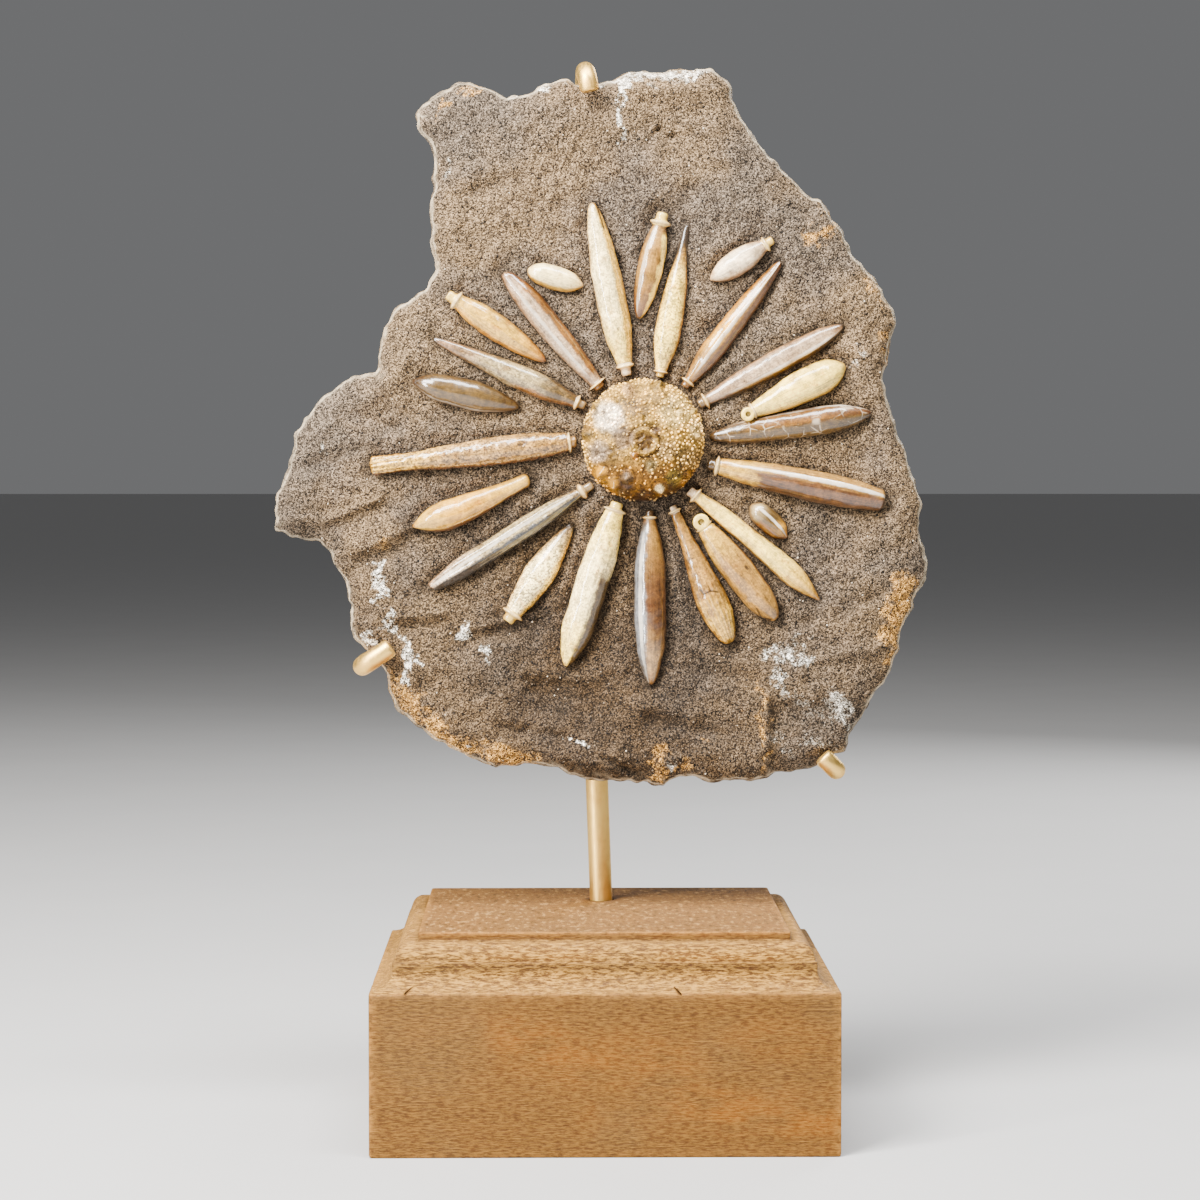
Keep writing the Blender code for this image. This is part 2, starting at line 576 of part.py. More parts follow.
def stub(z, side):
    """The two first corners of an arm that leaves the post's side squarely."""
    start = POST_RADIUS + GAP + 0.05
    near, far = post_point(z, side * start), post_point(z, side * (start + 6))
    near.y = far.y = ARM_Y * MM
    return [near, far]


def brass_rods(home):
    foot, top = post_point(POST_FOOT_Z + GAP), post_point(POST_TOP_Z)
    rod("brass_post", [foot, foot.lerp(top, 0.5), top], POST_RADIUS, home)
    above_post = top + Vector((0, 0, GAP * MM))
    rise = Vector((above_post.x, ARM_Y * MM, above_post.z))
    claw("top_claw", [rise], (-14.4, 91.6), (-13.3, 86.2), home)
    claw("left_claw", stub(139, -1), (-70.2, -56.5), (-62.9, -51.6), home)
    claw("right_claw", stub(129, 1), (48.8, -83.0), (45.1, -79.2), home)


def main():
    clear_scene()
    part = collection("fossil_urchin_on_stand")
    sockets = collection("socket_cutters")
    bosses = collection("tubercle_guides")
    drills = collection("drill_cutters")
    spines(part, sockets)
    urchin_test(part, sockets, bosses)
    rock_matrix(part, sockets)
    wooden_base(part, drills)
    brass_rods(part)


main()
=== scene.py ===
"""A fossil sea urchin on its slab of rock, in a brass claw stand on a moulded wooden base.

The slab's face looks along -Y. Places on it are (across, up) in millimetres from the middle of
the urchin's test, and depths are millimetres along Y. Finished meshes are in metres.
"""

import functools
import math

import bmesh
import bpy
import numpy as np
from bpy.props import FloatProperty, FloatVectorProperty, IntProperty, PointerProperty
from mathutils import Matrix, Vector, noise


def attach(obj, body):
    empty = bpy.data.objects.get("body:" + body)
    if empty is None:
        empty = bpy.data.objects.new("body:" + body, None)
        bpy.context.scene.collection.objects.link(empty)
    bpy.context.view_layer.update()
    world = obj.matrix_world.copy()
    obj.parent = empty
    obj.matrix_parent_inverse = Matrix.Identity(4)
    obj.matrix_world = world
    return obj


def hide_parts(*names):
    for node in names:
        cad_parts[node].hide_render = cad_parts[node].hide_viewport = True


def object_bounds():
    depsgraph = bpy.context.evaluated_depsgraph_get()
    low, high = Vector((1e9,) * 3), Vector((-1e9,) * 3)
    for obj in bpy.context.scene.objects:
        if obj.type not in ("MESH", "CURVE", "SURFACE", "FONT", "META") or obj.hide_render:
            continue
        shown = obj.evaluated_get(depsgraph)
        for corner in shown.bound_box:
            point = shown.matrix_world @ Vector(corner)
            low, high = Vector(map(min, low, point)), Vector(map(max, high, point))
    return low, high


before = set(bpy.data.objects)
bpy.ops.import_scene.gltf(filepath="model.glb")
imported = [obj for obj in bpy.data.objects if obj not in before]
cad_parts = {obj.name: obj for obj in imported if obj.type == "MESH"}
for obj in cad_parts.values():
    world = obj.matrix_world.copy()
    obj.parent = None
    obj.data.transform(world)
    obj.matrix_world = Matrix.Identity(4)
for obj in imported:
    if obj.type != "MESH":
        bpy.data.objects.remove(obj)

bl_info = {
    "name": "Fossil sea urchin on a stand",
    "version": (1, 0, 0),
    "blender": (4, 5, 0),
    "location": "View3D > Sidebar > Fossil",
    "description": "Builds a fossil urchin with its spines, its rock, brass claws and wooden base",
    "category": "Object",
}

MM = 0.001  # metres in a millimetre
GAP = 0.3  # between solids that touch
CAD_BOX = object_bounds()
SEED = 7
SHARP_ANGLE = math.radians(32)

# Slab of rock
CENTRE_X = 10.15  # the middle of the test in the part's frame
CENTRE_Z = 170.3
FACE_Y = -5.0
BACK_Y = 11.4
BACK_LIMIT_Y = 12.6
RIM_Y = 2.5
FACE_INSET = 0.9
BACK_INSET = 2.4
INSET_REACH = 9.0
OUTLINE = [
    (-66.5, 17), (-66.5, 22), (-64.5, 28.5), (-62.5, 33), (-58, 36), (-54.5, 38), (-52, 43),
    (-52.7, 47), (-53, 53), (-53, 59.5), (-52.5, 66), (-53, 73), (-56, 77.5), (-57, 81),
    (-54, 84.5), (-50.5, 87), (-45.5, 89.5), (-39, 88.5), (-34.5, 85.7), (-29, 86.5),
    (-23.8, 89.5), (-18.6, 90.5), (-17, 88.8), (-11.8, 88.8), (-8, 90), (-3.5, 92.5), (3, 92.3),
    (11, 93), (17.5, 93), (21, 90), (23, 85), (26, 78.7), (30, 72.6), (35, 68), (39, 63.2),
    (46, 58.8), (50.3, 52.3), (52.8, 46.7), (58.5, 39.6), (62.3, 33), (63.7, 29), (62.2, 24.4),
    (60.7, 15.6), (62, 10), (65, 1), (68, -7.7), (70.4, -16), (70, -22.7), (71.8, -30),
    (71, -35.5), (68, -42), (65.2, -48.5), (65.2, -52.7), (62.4, -58), (58.2, -65),
    (55.6, -70.4), (52.5, -74), (51.5, -79), (47.8, -79.4), (44.5, -82.3), (38, -84),
    (32, -85), (24, -86.3), (17, -86), (10, -84.5), (5.2, -87.7), (1.5, -86), (-6, -86),
    (-16, -85), (-23, -82), (-28, -81.4), (-37, -82.8), (-42, -80), (-46, -78), (-52, -75),
    (-58, -71), (-63, -66.5), (-64.7, -63), (-64.5, -59.5), (-65.4, -57), (-68.4, -54),
    (-71.5, -51), (-74, -47.5), (-73.3, -42), (-75, -35), (-79.5, -27), (-82, -25.4),
    (-88.5, -24.2), (-92.3, -22), (-92, -13), (-89, -7), (-87.3, 1.5), (-83, 7.8),
    (-78.5, 12.5), (-73, 16),
]
CLAW_CORNERS = [(-14.4, 91.6), (-70.2, -56.5), (48.8, -83.0)]
OUTLINE_STEP = 0.9  # length of the short steps that roughen the outline
SCALLOP = 0.75  # depth of the chips along it

# Ridges (+) and troughs (-) of the face: from, to, half width, height
FOLDS = [
    ((-84, -24.5), (-66, -17), 2.6, -1.3),
    ((-72, -31), (-55, -24), 2.6, -1.4),
    ((-72, -26.5), (-60, -20.5), 2.4, 0.8),
    ((-62, -47), (-50, -46), 2.2, -0.9),
    ((-45, -50), (-25, -46), 2.4, -1.1),
    ((-57, -57), (-42, -58), 3.0, 0.9),
    ((-25, -64), (-14, -67), 7.0, -2.2),
    ((-22, -80), (-8, -81), 3.2, 1.6),
    ((13, 63), (9, 56), 2.4, -0.8),
    ((-60, 20), (-68.5, 10), 2.2, 0.9),
]
CORNER_STEP = 2.2
CORNER_LEFT, CORNER_TOP, CORNER_BLUR = 31.5, -66.0, 2.5
CHIPPED_FROM, CHIPPED_TO, CHIPPED_ABOVE, CHIPPED_SLOPE = -10.0, 13.0, 87.5, 0.45
DISH_DEPTH, DISH_RADIUS, DISH_RIM = 0.9, 52.0, 16.0

# Small creases, cracks and lips: from, to, half width, height
CREASES = [
    ((1, 74), (4, 77.5), 0.7, -0.6), ((4, 77.5), (7, 75.5), 0.7, -0.6),
    ((7, 75.5), (12, 76), 0.7, -0.5), ((-10, -80), (0, -85), 0.9, -0.9),
    ((25, 55), (45, 50), 1.6, -0.4), ((28, 61), (40, 57), 1.5, -0.35),
    ((-80, -21), (-66, -14.5), 0.9, 0.6), ((-70, -27.5), (-56, -21), 0.9, 0.5),
    ((-62, -44.5), (-50, -43.5), 1.1, 0.5), ((-44, -47.6), (-27, -43.6), 1.1, 0.5),
    ((31.3, -64), (31.3, -84), 0.8, 0.5), ((-30, -58), (-12, -60), 1.4, 0.6),
    ((-19.8, -75.1), (-12.5, -76.2), 0.45, -0.4), ((-44.5, -75), (-41, -79), 0.4, -0.3),
    ((-35, -72), (-20, -75), 1.6, -0.7), ((2, -70), (20, -74), 2.0, -0.6),
    ((-47, 60), (-30, 66), 1.8, -0.35), ((-40, 45), (-46, 52), 1.6, -0.4),
    ((36, -47), (58, -40), 1.8, -0.45), ((40, -55), (60, -52), 1.5, 0.4),
    ((-62, 3), (-75, 7), 1.6, -0.4), ((-70, -2), (-84, -6), 1.8, -0.5),
    ((14, -58), (28, -60), 1.8, -0.5), ((-3, 70), (-6, 90), 0.7, -0.25),
]
MOAT_DEPTH, MOAT_WIDTH = 0.6, 1.3  # where the rock was dug away beside the fossils
BANK_HEIGHT, BANK_AT, BANK_WIDTH = 0.3, 4.2, 1.8
CREASE_GAIN = 1.6
FACE_FALL, FACE_FALL_REACH = 2.2, 7  # how far the face falls off to the rim, and where from
BACK_FALL, BACK_FALL_REACH = 3.4, 15

# Lumps: size, height, layer of the noise. Ledges: also between which values of the noise they drop.
FACE_LUMPS = [(24, 1.1, 40), (9, 0.5, 90)]
FINE_LUMPS = [(5.0, 0.60, 5), (2.4, 0.42, 16), (1.2, 0.26, 27)]
BACK_LUMPS = [(20, 1.2, -70), (8, 0.6, -20), (3, 0.25, 15)]
BACK_LEDGES = [(27, 1.2, 60, 0, 0.07), (19, 0.9, 75, 0.22, 0.30)]
PIN_HOLES = [
    (-52, 81), (-51.5, 79.7), (-20, 80), (-23.8, 85.4), (-33, 77), (-47.5, 73.5), (-29.3, 74.5),
    (-21, 62.8), (-20.7, 53.2), (-9, 64), (-1, 64), (-3, 86), (9, 70.5), (28.7, 41), (15, -57),
    (66, -18.5), (-34, 12.7), (-41.5, -19.3), (27.4, -2.3), (32.8, 24.9), (27.7, 48.2),
]
PIN_HOLE_RADIUS, PIN_HOLE_DEPTH = 0.55, 0.9

# Stains on the face: from, to, half width, strength
CHALK = [
    ((-66, -32), (-66, -38.5), 1.5, 1.0), ((-63.5, -43.7), (-63, -43.2), 1.3, 0.9),
    ((-65, -45), (-60, -50), 0.9, 0.9), ((-60, -50), (-58, -55), 0.9, 0.95),
    ((-58, -55), (-60, -60), 0.8, 0.9), ((-58, -52), (-55, -56), 0.7, 0.8),
    ((-69, -49.5), (-67.5, -50.5), 0.9, 0.7), ((-45, -47.2), (-45, -49.6), 1.3, 0.9),
    ((-40, -51), (-39.5, -54), 0.9, 0.8), ((31, -53), (41, -55), 1.8, 0.62),
    ((34, -58), (35, -62), 1.5, 0.6), ((48, -65), (53, -73), 2.6, 0.6), ((33, -74), (38, -79), 2.0, 0.3),
    ((38, -64), (46, -70), 3.4, 0.3), ((42, -75), (50, -80), 3.0, 0.34),
    ((36, -52), (40, -50), 1.6, 0.4), ((-80, -1), (-80, -2.6), 1.0, 0.6),
    ((-48, 70), (-48, 66), 0.7, 0.5), ((53, 18), (55, 23), 1.0, 0.4),
    ((-5.6, 74), (-5.4, 90), 0.75, 0.95), ((-10, 91), (-1, 92), 2.6, 1.0),
    ((-1, 91.5), (14, 92.5), 2.8, 0.9), ((-34, 86), (-24, 88), 0.9, 0.7),
    ((-19.8, -75.1), (-12.5, -76.2), 0.35, 1.0), ((7, -82), (8, -82.3), 1.3, 0.9),
    ((-44.5, -75), (-41, -79), 0.3, 0.6),
]
IRON = [
    ((-64, -61), (-47, -77), 3.0, 0.95), ((-47, -77), (-28, -81), 2.4, 0.85),
    ((3.5, -78), (4.5, -84), 1.8, 0.9), ((10, -81.5), (10.6, -82), 1.6, 0.9),
    ((16, -75), (16.4, -75), 1.3, 0.6), ((25, -69), (25.4, -69), 1.2, 0.6),
    ((66, -37), (63, -49), 3.4, 1.0), ((63, -54), (62, -56), 2.0, 0.7),
    ((42, 50), (48, 53), 2.2, 0.75), ((46, 58), (50, 50), 1.2, 0.6),
    ((56, 39), (60, 34), 1.0, 0.6), ((60, 27), (62, 20), 1.0, 0.6),
    ((-51, 79), (-50, 85), 0.9, 0.7), ((-45, 87), (-38, 88.5), 1.2, 0.7),
    ((30, -62), (31, -84), 1.0, 0.6), ((-66, -26), (-64, -25), 1.6, 0.4),
]
BACK_IRON = 0.18  # rust all over the slab's back
# Painted shade: the slab is darkened towards the bottom, where less light falls
LOW_SHADE_X, LOW_SHADE_HEIGHTS = 0.01, (0.19, 0.125)  # middle of the dark lower part, its top and full tone

# The urchin's test
TEST_RADIUS = 15.4
TEST_HALF_HEIGHT = 10.5
TEST_STAND = 1.2
CROWN_AT, CROWN_RADIUS, CROWN_WIDTH, CROWN_HEIGHT = (0, -0.5), 3.0, 0.42, 0.85
LANES = [(36, 0.35), (108, 1.0), (180, 0.5), (252, 0.6), (324, 0.45)]  # bearing, depth
LANE_FROM, GROOVE_WIDTH, GROOVE_DEPTH = 4.2, 0.5, 0.34
PORES_AT, PORE_HALF_WIDTH, PORE_SPACING, PORE_DEPTH = 1.15, 0.5, 0.75, 0.196
TUBERCLES = [  # across, up, size
    (-3.7, 12.3, 1.0), (3.8, 13.4, 0.8), (-11.4, 8.2, 0.9), (9.1, 6.4, 0.65), (12.6, 7.2, 0.6),
    (13.2, 0.8, 0.55), (-14.2, 1.3, 0.8), (-4.2, -9.3, 1.0), (4.2, -12.3, 1.0), (11.2, -8.6, 0.6),
    (-10.3, -8.3, 0.8), (-6.9, -11.4, 0.7), (2.6, 1.6, 0.6), (1.6, -6.4, 0.5), (-0.6, 5.6, 0.5),
    (7.0, -5.0, 0.5), (5.6, 9.6, 0.5), (-7.0, 9.6, 0.5), (-8.6, -3.6, 0.5),
]
BOSS_RADIUS, BOSS_HEIGHT = 1.6, 0.75
NIPPLE_RADIUS, NIPPLE_HEIGHT = 0.72, 0.7
RING_RADIUS, RING_DEPTH, RING_WIDTH = 2.2, 0.35, 0.4

# Linear colours, by a plain name
PALETTE = {
    "ivory": (1.0, 0.77, 0.33), "cream": (0.95, 0.66, 0.12), "straw": (0.62, 0.35, 0.040),
    "tan": (0.29, 0.145, 0.026), "amber": (0.62, 0.300, 0.022), "rust": (0.17, 0.070, 0.012),
    "brown": (0.095, 0.038, 0.010), "olive": (0.090, 0.050, 0.012), "grey": (0.33, 0.240, 0.105),
    "lilac": (0.42, 0.285, 0.165), "pearl": (0.92, 0.71, 0.44), "slate": (0.038, 0.037, 0.036),
    "blue": (0.15, 0.150, 0.152), "pink": (0.34, 0.185, 0.052),
}
TONES = {  # more of them, for stains, grains, marks, painted shade and painted highlights
    "tea": (0.55, 0.40, 0.25), "vein": (0.55, 0.44, 0.30), "line": (0.85, 0.76, 0.62),
    "spine pit": (0.05, 0.03, 0.02), "crack": (0.035, 0.018, 0.008), "flank_shade": (0.50, 0.36, 0.23),
    "foot": (0.030, 0.018, 0.009), "low_shade": (0.40, 0.365, 0.32), "dark rust": (0.13, 0.060, 0.013),
    "pale rust": (0.60, 0.38, 0.13), "shade": (0.014, 0.009, 0.005), "rim": (0.62, 0.50, 0.33),
    "rock pit": (0.012, 0.009, 0.006), "black sand": (0.008, 0.005, 0.003),
    "brown sand": (0.055, 0.036, 0.021), "tan sand": (0.17, 0.118, 0.068),
    "white sand": (0.60, 0.50, 0.37), "test hollow shade": (0.030, 0.012, 0.003), "granule": (1, 0.64, 0.17),
    "brass pit": (0.20, 0.12, 0.05), "orange": (0.150, 0.046, 0.001), "greyed": (0.072, 0.036, 0.011),
    "dust_and_sheen": (0.150, 0.073, 0.025), "dark mark": (0.040, 0.015, 0.003), "pale mark": (0.38, 0.21, 0.07),
    "ray": (0.25, 0.112, 0.016), "fleck": (0.020, 0.008, 0.001), "torn": (0.60, 0.31, 0.055),
    "worn": (0.42, 0.19, 0.035), "wood hollow shade": (0.030, 0.012, 0.004),
}

# Spines, clockwise from the top. inner: the end at the test, or a fragment's first end. collar and
# flange: where the flange is, and its width. tip: the outer end. button: the button's colour.
# widths: across the body at even steps from the collar to the tip. stand: how far the axis lies
# above the face at its two ends. tones: colours at the root, middle and tip. side: a second colour
# from an angle round the spine, its turn (+1 or -1) and where it starts along it; side_to: where it
# ends. line: a painted highlight line's angle and strength. end: length of the tip's rounding.
# skew: how oblique the tip is. bow: how far the middle bends aside. ridges: angle, height, width.
# ribs: count, depth, start. rough: depth of the grain. cracks: from, to, half width, strength.
SPINES = [
    dict(inner=(-4.0, 16.1), collar=(-4.5, 18.8), flange=4.5, tip=(-12.8, 59.0), button="pearl",
         widths=(3.9, 7.1, 7.5, 7.1, 5.4, 2.2), stand=(0.6, 0.5), slot="pale",
         tones=("cream", "ivory", "ivory"), side=("straw", -0.12, -1, 0.1), specks=0.5,
         ridges=[(-0.05, 0.16, 0.05)], end=2.4,
         cracks=[((-11.6, 58.4), (-9.8, 52.5), 0.3, 0.9), ((-6.4, 27.0), (-6.2, 28.0), 0.35, 0.9)]),
    dict(inner=(4.9, 56.6), collar=(4.3, 53.7), flange=5.2, tip=(-1.1, 30.2),
         widths=(3.4, 5.9, 6.4, 6.0, 4.7, 1.6), stand=(0.5, 0.3), slot="tan",
         tones=("pink", "tan", "rust"), side=("cream", 0.18, 1, 0.2), line=(-0.2, 0.6),
         end=2.0),
    dict(inner=(4.2, 15.7), collar=(4.6, 17.2), flange=3.6, tip=(11.0, 53.6),
         widths=(3.2, 6.3, 6.4, 5.2, 2.9, 1.6), stand=(0.3, -0.6), slot="pale",
         tones=("cream", "cream", "grey"), side=("amber", -0.3, -1, 0), specks=0.7, end=3.0),
    dict(inner=(32.3, 49.9), collar=(30.8, 48.1), flange=4.0, tip=(16.8, 39.9),
         widths=(3.2, 5.4, 6.4, 6.2, 4.8, 1.6), stand=(0.4, 0.2), slot="pale",
         tones=("lilac", "pearl", "pearl"), side=("lilac", 0.25, 1, 0), specks=0.2, end=2.4),
    dict(inner=(10.3, 13.2), collar=(11.3, 14.7), flange=3.9, tip=(34.4, 44.5), button="tan",
         widths=(2.6, 5.6, 5.8, 5.2, 3.9, 1.6), stand=(0.2, -0.2), slot="tan",
         tones=("tan", "amber", "tan"), side=("rust", -0.06, -1, 0.1), line=(0, 1.0),
         ridges=[(0, 0.4, 0.06)], end=1.6),
    dict(inner=(13.9, 8.8), collar=(15.7, 10.0), flange=4.4, tip=(50.4, 28.8), button="grey",
         widths=(2.8, 5.4, 6.2, 6.2, 5.4, 1.8), stand=(0, -0.6), slot="dark",
         tones=("lilac", "lilac", "lilac"), side=("olive", -0.2, -1, 0.1), line=(-0.16, 0.7),
         ridges=[(-0.16, 0.35, 0.06)], specks=0.4, end=3.0),
    dict(inner=(25.3, 6.2), collar=(27.8, 7.0), flange=4.2, tip=(50.5, 18.6),
         widths=(4.0, 6.0, 7.7, 8.3, 7.6, 3.0), stand=(0.8, 0.6), slot="pale",
         tones=("cream", "cream", "cream"), side=("straw", -0.3, -1, 0), specks=0.25,
         ribs=(26, 0.12, 0.72), end=3.2),
    dict(inner=(16.6, 0.7), tip=(57.1, 6.8),
         widths=(1.8, 5.6, 6.6, 7.2, 6.8, 2.2), stand=(0.2, 0.4), slot="dark",
         tones=("olive", "rust", "brown"), side=("olive", 0.02, -1, 0.2), line=(0.36, 0.7),
         veins=0.8, specks=0.4, end=3.4),
    dict(inner=(16.2, -6.0), collar=(18.8, -6.7), flange=4.9, tip=(60.4, -15.2), button="olive",
         widths=(4.2, 6.2, 7.4, 7.9, 7.4, 5.2), stand=(0.3, 0.1), slot="dark",
         tones=("straw", "tan", "tan"), side=("brown", 0.08, -1, 0.24), line=(0.14, 1.0),
         ridges=[(0.14, 0.45, 0.06)], streaks=0.9, end=0.9),
    dict(inner=(27.0, -16.2), tip=(36.0, -24.4),
         widths=(2.4, 5.2, 5.8, 5.6, 4.6, 1.4), stand=(0.2, 0.2), slot="dark",
         tones=("grey", "olive", "amber"), side=("rust", -0.12, -1, 0.3), line=(0.1, 0.9),
         ribs=(18, 0.12, 0.5), specks=0.1, end=2.4),
    dict(inner=(11.5, -12.6), collar=(13.5, -13.9), flange=4.4, tip=(44.2, -40.0), button="pearl",
         widths=(3.0, 4.4, 4.6, 5.5, 5.4, 1.0), stand=(0.4, 0.2), slot="pale",
         tones=("cream", "cream", "straw"), side=("tan", -0.32, -1, 0),
         bow=0.7, end=4.0),
    dict(inner=(14.0, -19.9), collar=(15.5, -21.8), flange=4.6, tip=(33.4, -44.9),
         widths=(4.4, 6.9, 8.1, 8.2, 7.2, 3.4), stand=(0.6, 0.6), slot="tan",
         cracks=[((28.3, -42.0), (29.6, -44.4), 0.3, 1.0), ((29.6, -44.4), (32.0, -44.9), 0.3, 1.0),
                 ((25.5, -31.5), (26.0, -32.1), 0.5, 0.9)],
         tones=("straw", "tan", "tan"), side=("brown", 0.34, 1, 0.3), specks=0.4, end=3.0),
    dict(inner=(7.4, -16.5), collar=(7.6, -18.0), flange=3.4, tip=(21.7, -50.5), button="pearl",
         widths=(2.4, 3.6, 5.6, 7.3, 7.0, 3.2), stand=(0.6, 0.5), slot="tan",
         cracks=[((14.2, -37.3), (15.3, -38.6), 0.28, 1.0), ((15.3, -38.6), (16.5, -37.6), 0.28, 1.0),
                 ((16.5, -37.6), (18.6, -37.9), 0.28, 1.0), ((16.5, -37.6), (16.2, -35.8), 0.24, 0.9)],
         tones=("tan", "tan", "straw"), specks=0.5, ribs=(20, 0.34, 0.55), rough=0.10, end=1.8),
    dict(inner=(1.7, -17.6), collar=(1.7, -19.6), flange=3.7, tip=(2.0, -61.2), button="olive",
         widths=(3.2, 6.8, 8.1, 8.0, 6.6, 2.4), stand=(0, 0), slot="dark",
         tones=("tan", "brown", "pink"), side=("blue", -0.1, -1, 0.05), line=(-0.22, 0.8),
         streaks=0.8, end=3.2),
    dict(inner=(-6.4, -15.5), collar=(-7.3, -17.7), flange=5.7, tip=(-19.3, -56.6),
         widths=(4.8, 7.5, 8.3, 8.1, 7.4, 2.4), stand=(0.8, 0.7), slot="pale",
         tones=("cream", "ivory", "cream"), side=("olive", 0.1, 1, 0.4), specks=0.5,
         ridges=[(0.04, 0.2, 0.05)], end=3.0),
    dict(inner=(-34.0, -45.4), collar=(-32.4, -43.3), flange=5.5, tip=(-17.6, -21.0),
         widths=(4.4, 6.8, 7.8, 6.9, 4.8, 1.8), stand=(0.6, -0.8), slot="pale",
         tones=("ivory", "ivory", "grey"), side=("cream", -0.2, -1, 0), specks=0.9,
         ribs=(22, 0.1, 0.6), rough=0.06, end=3.0),
    dict(inner=(-12.6, -11.1), collar=(-15.5, -13.1), flange=4.1, tip=(-53.0, -37.0), button="grey",
         widths=(2.4, 4.8, 5.5, 5.3, 5.2, 2.6), stand=(0, 0.2), slot="dark",
         tones=("grey", "grey", "lilac"), side=("slate", 0.02, 1, 0.03), line=(-0.10, 1.0),
         ridges=[(0.08, 0.4, 0.06), (-0.2, 0.3, 0.06)], streaks=0.7, specks=0.8, end=0.9,
         skew=-0.35),
    dict(inner=(-28.4, -9.6), tip=(-57.5, -21.6),
         widths=(3.4, 4.2, 5.8, 7.2, 7.1, 1.6), stand=(0.5, 0.4), slot="tan",
         tones=("straw", "amber", "straw"), side=("brown", 0.28, 1, 0), specks=0.2,
         bow=0.8, end=3.4),
    dict(inner=(-16.7, -0.3), collar=(-18.6, -0.7), flange=4.9, tip=(-67.8, -6.6), button="tan",
         widths=(4.8, 6.9, 6.9, 5.9, 4.5, 4.2), stand=(0.6, 0.6), slot="tan",
         tones=("tan", "pink", "straw"), side=("brown", 0.3, 1, 0), specks=0.9,
         ribs=(12, 0.28, 0.84), rough=0.16, end=0.8,
         cracks=[((-30.2, -1.1), (-31.0, -1.3), 0.4, 1.0), ((-44.0, -5.0), (-46.0, -4.6), 0.3, 0.9)]),
    dict(inner=(-30.9, 8.2), tip=(-57.6, 14.7),
         widths=(1.6, 5.4, 7.5, 7.2, 6.3, 1.6), stand=(0, 0.2), slot="dark",
         tones=("olive", "olive", "olive"), line=(0.36, 0.5), end=3.0),
    dict(inner=(-14.5, 8.5), collar=(-16.8, 9.3), flange=3.9, tip=(-52.3, 25.2), button="grey",
         widths=(3.0, 5.9, 6.1, 4.9, 3.4, 1.4), stand=(0, -0.2), slot="pale",
         tones=("olive", "grey", "lilac"), side=("rust", 0.18, 1, -0.1), side_to=0.45,
         specks=0.6, end=2.4),
    dict(inner=(-48.7, 36.2), collar=(-46.1, 34.6), flange=4.9, tip=(-24.2, 19.6),
         widths=(3.8, 6.2, 6.6, 5.9, 4.2, 1.4), stand=(0.5, 0), slot="tan",
         tones=("straw", "straw", "amber"), side=("amber", -0.2, -1, 0),
         ribs=(14, 0.06, 0.1), end=2.4),
    dict(inner=(-10.6, 13.0), collar=(-11.5, 14.2), flange=4.9, tip=(-34.4, 41.9), button="tan",
         widths=(3.2, 5.2, 6.2, 6.5, 6.0, 2.8), stand=(0.2, -0.6), slot="pale",
         tones=("lilac", "lilac", "lilac"), side=("rust", -0.08, -1, 0.05), line=(0.1, 0.6),
         streaks=0.6, specks=0.4, end=1.4, skew=0.5),
    dict(inner=(-28.8, 42.2), tip=(-15.0, 38.4),
         widths=(2.4, 5.2, 6.0, 5.8, 4.8, 1.8), stand=(0.5, 0.5), slot="pale",
         tones=("ivory", "ivory", "ivory"), side=("straw", -0.22, -1, 0), specks=0.15, end=2.4),
]

CALCITE_VALUES = {
    "Side At": 2.0, "Side Turn": 1.0, "Side From": 2.0, "Side To": 2.0, "Line At": 0.0, "Line": 0.0,
    "Specks": 0.3, "Streaks": 0.6, "Veins": 0.0,
}

# Brass rods
POST_FOOT_Z, POST_TOP_Z = 22.0, 171.0
POST_Y, ARM_Y = 17.0, 16.2
BACK_BEND, CLAW_BEND = 5.0, 3.6
BEND_STEPS, ROD_SIDES, ROD_STEP = 16, 44, 0.8
TIP_TAPER = [(0, 0.80), (0.12, 0.88), (0.3, 0.94), (0.6, 0.985), (1.0, 1.0)]  # along, girth
BRAZE_SWELL, BRAZE_REACH = 0.28, 1.3
CLAWS = [
    ("top_claw", None, 0, (-14.4, 91.45), (-13.3, 86.2)),
    ("left_claw", 139.0, -1, (-70.2, -56.5), (-62.9, -51.6)),
    ("right_claw", 129.0, 1, (48.8, -83.0), (45.1, -79.2)),
]


# -------- settings

class SlabSettings(bpy.types.PropertyGroup):
    facet: FloatProperty(
        name="Facet size", description="Spacing of the slab's faces",
        default=0.00066, min=0.0005, max=0.005, unit="LENGTH")
    faces: IntProperty(
        name="Most triangles", description="The slab's back is thinned down to this",
        default=190000, min=20000, max=198000)
    grains: FloatProperty(
        name="Loose grains", description="Sand grains on each square metre of the face",
        default=190000.0, min=0, max=400000.0)
    grain_size: FloatProperty(
        name="Grain size", description="Radius of the largest sand grains",
        default=0.00032, min=0.0001, max=0.001, unit="LENGTH")
    stone: FloatVectorProperty(
        name="Stone", description="Main colour of the sandstone", subtype="COLOR",
        default=(0.082, 0.058, 0.037), min=0, max=1)
    chalk: FloatVectorProperty(
        name="Chalk", description="Colour of the white mineral smears", subtype="COLOR",
        default=(0.80, 0.75, 0.64), min=0, max=1)
    iron: FloatVectorProperty(
        name="Iron stain", description="Colour of the rusty crust", subtype="COLOR",
        default=(0.36, 0.185, 0.040), min=0, max=1)


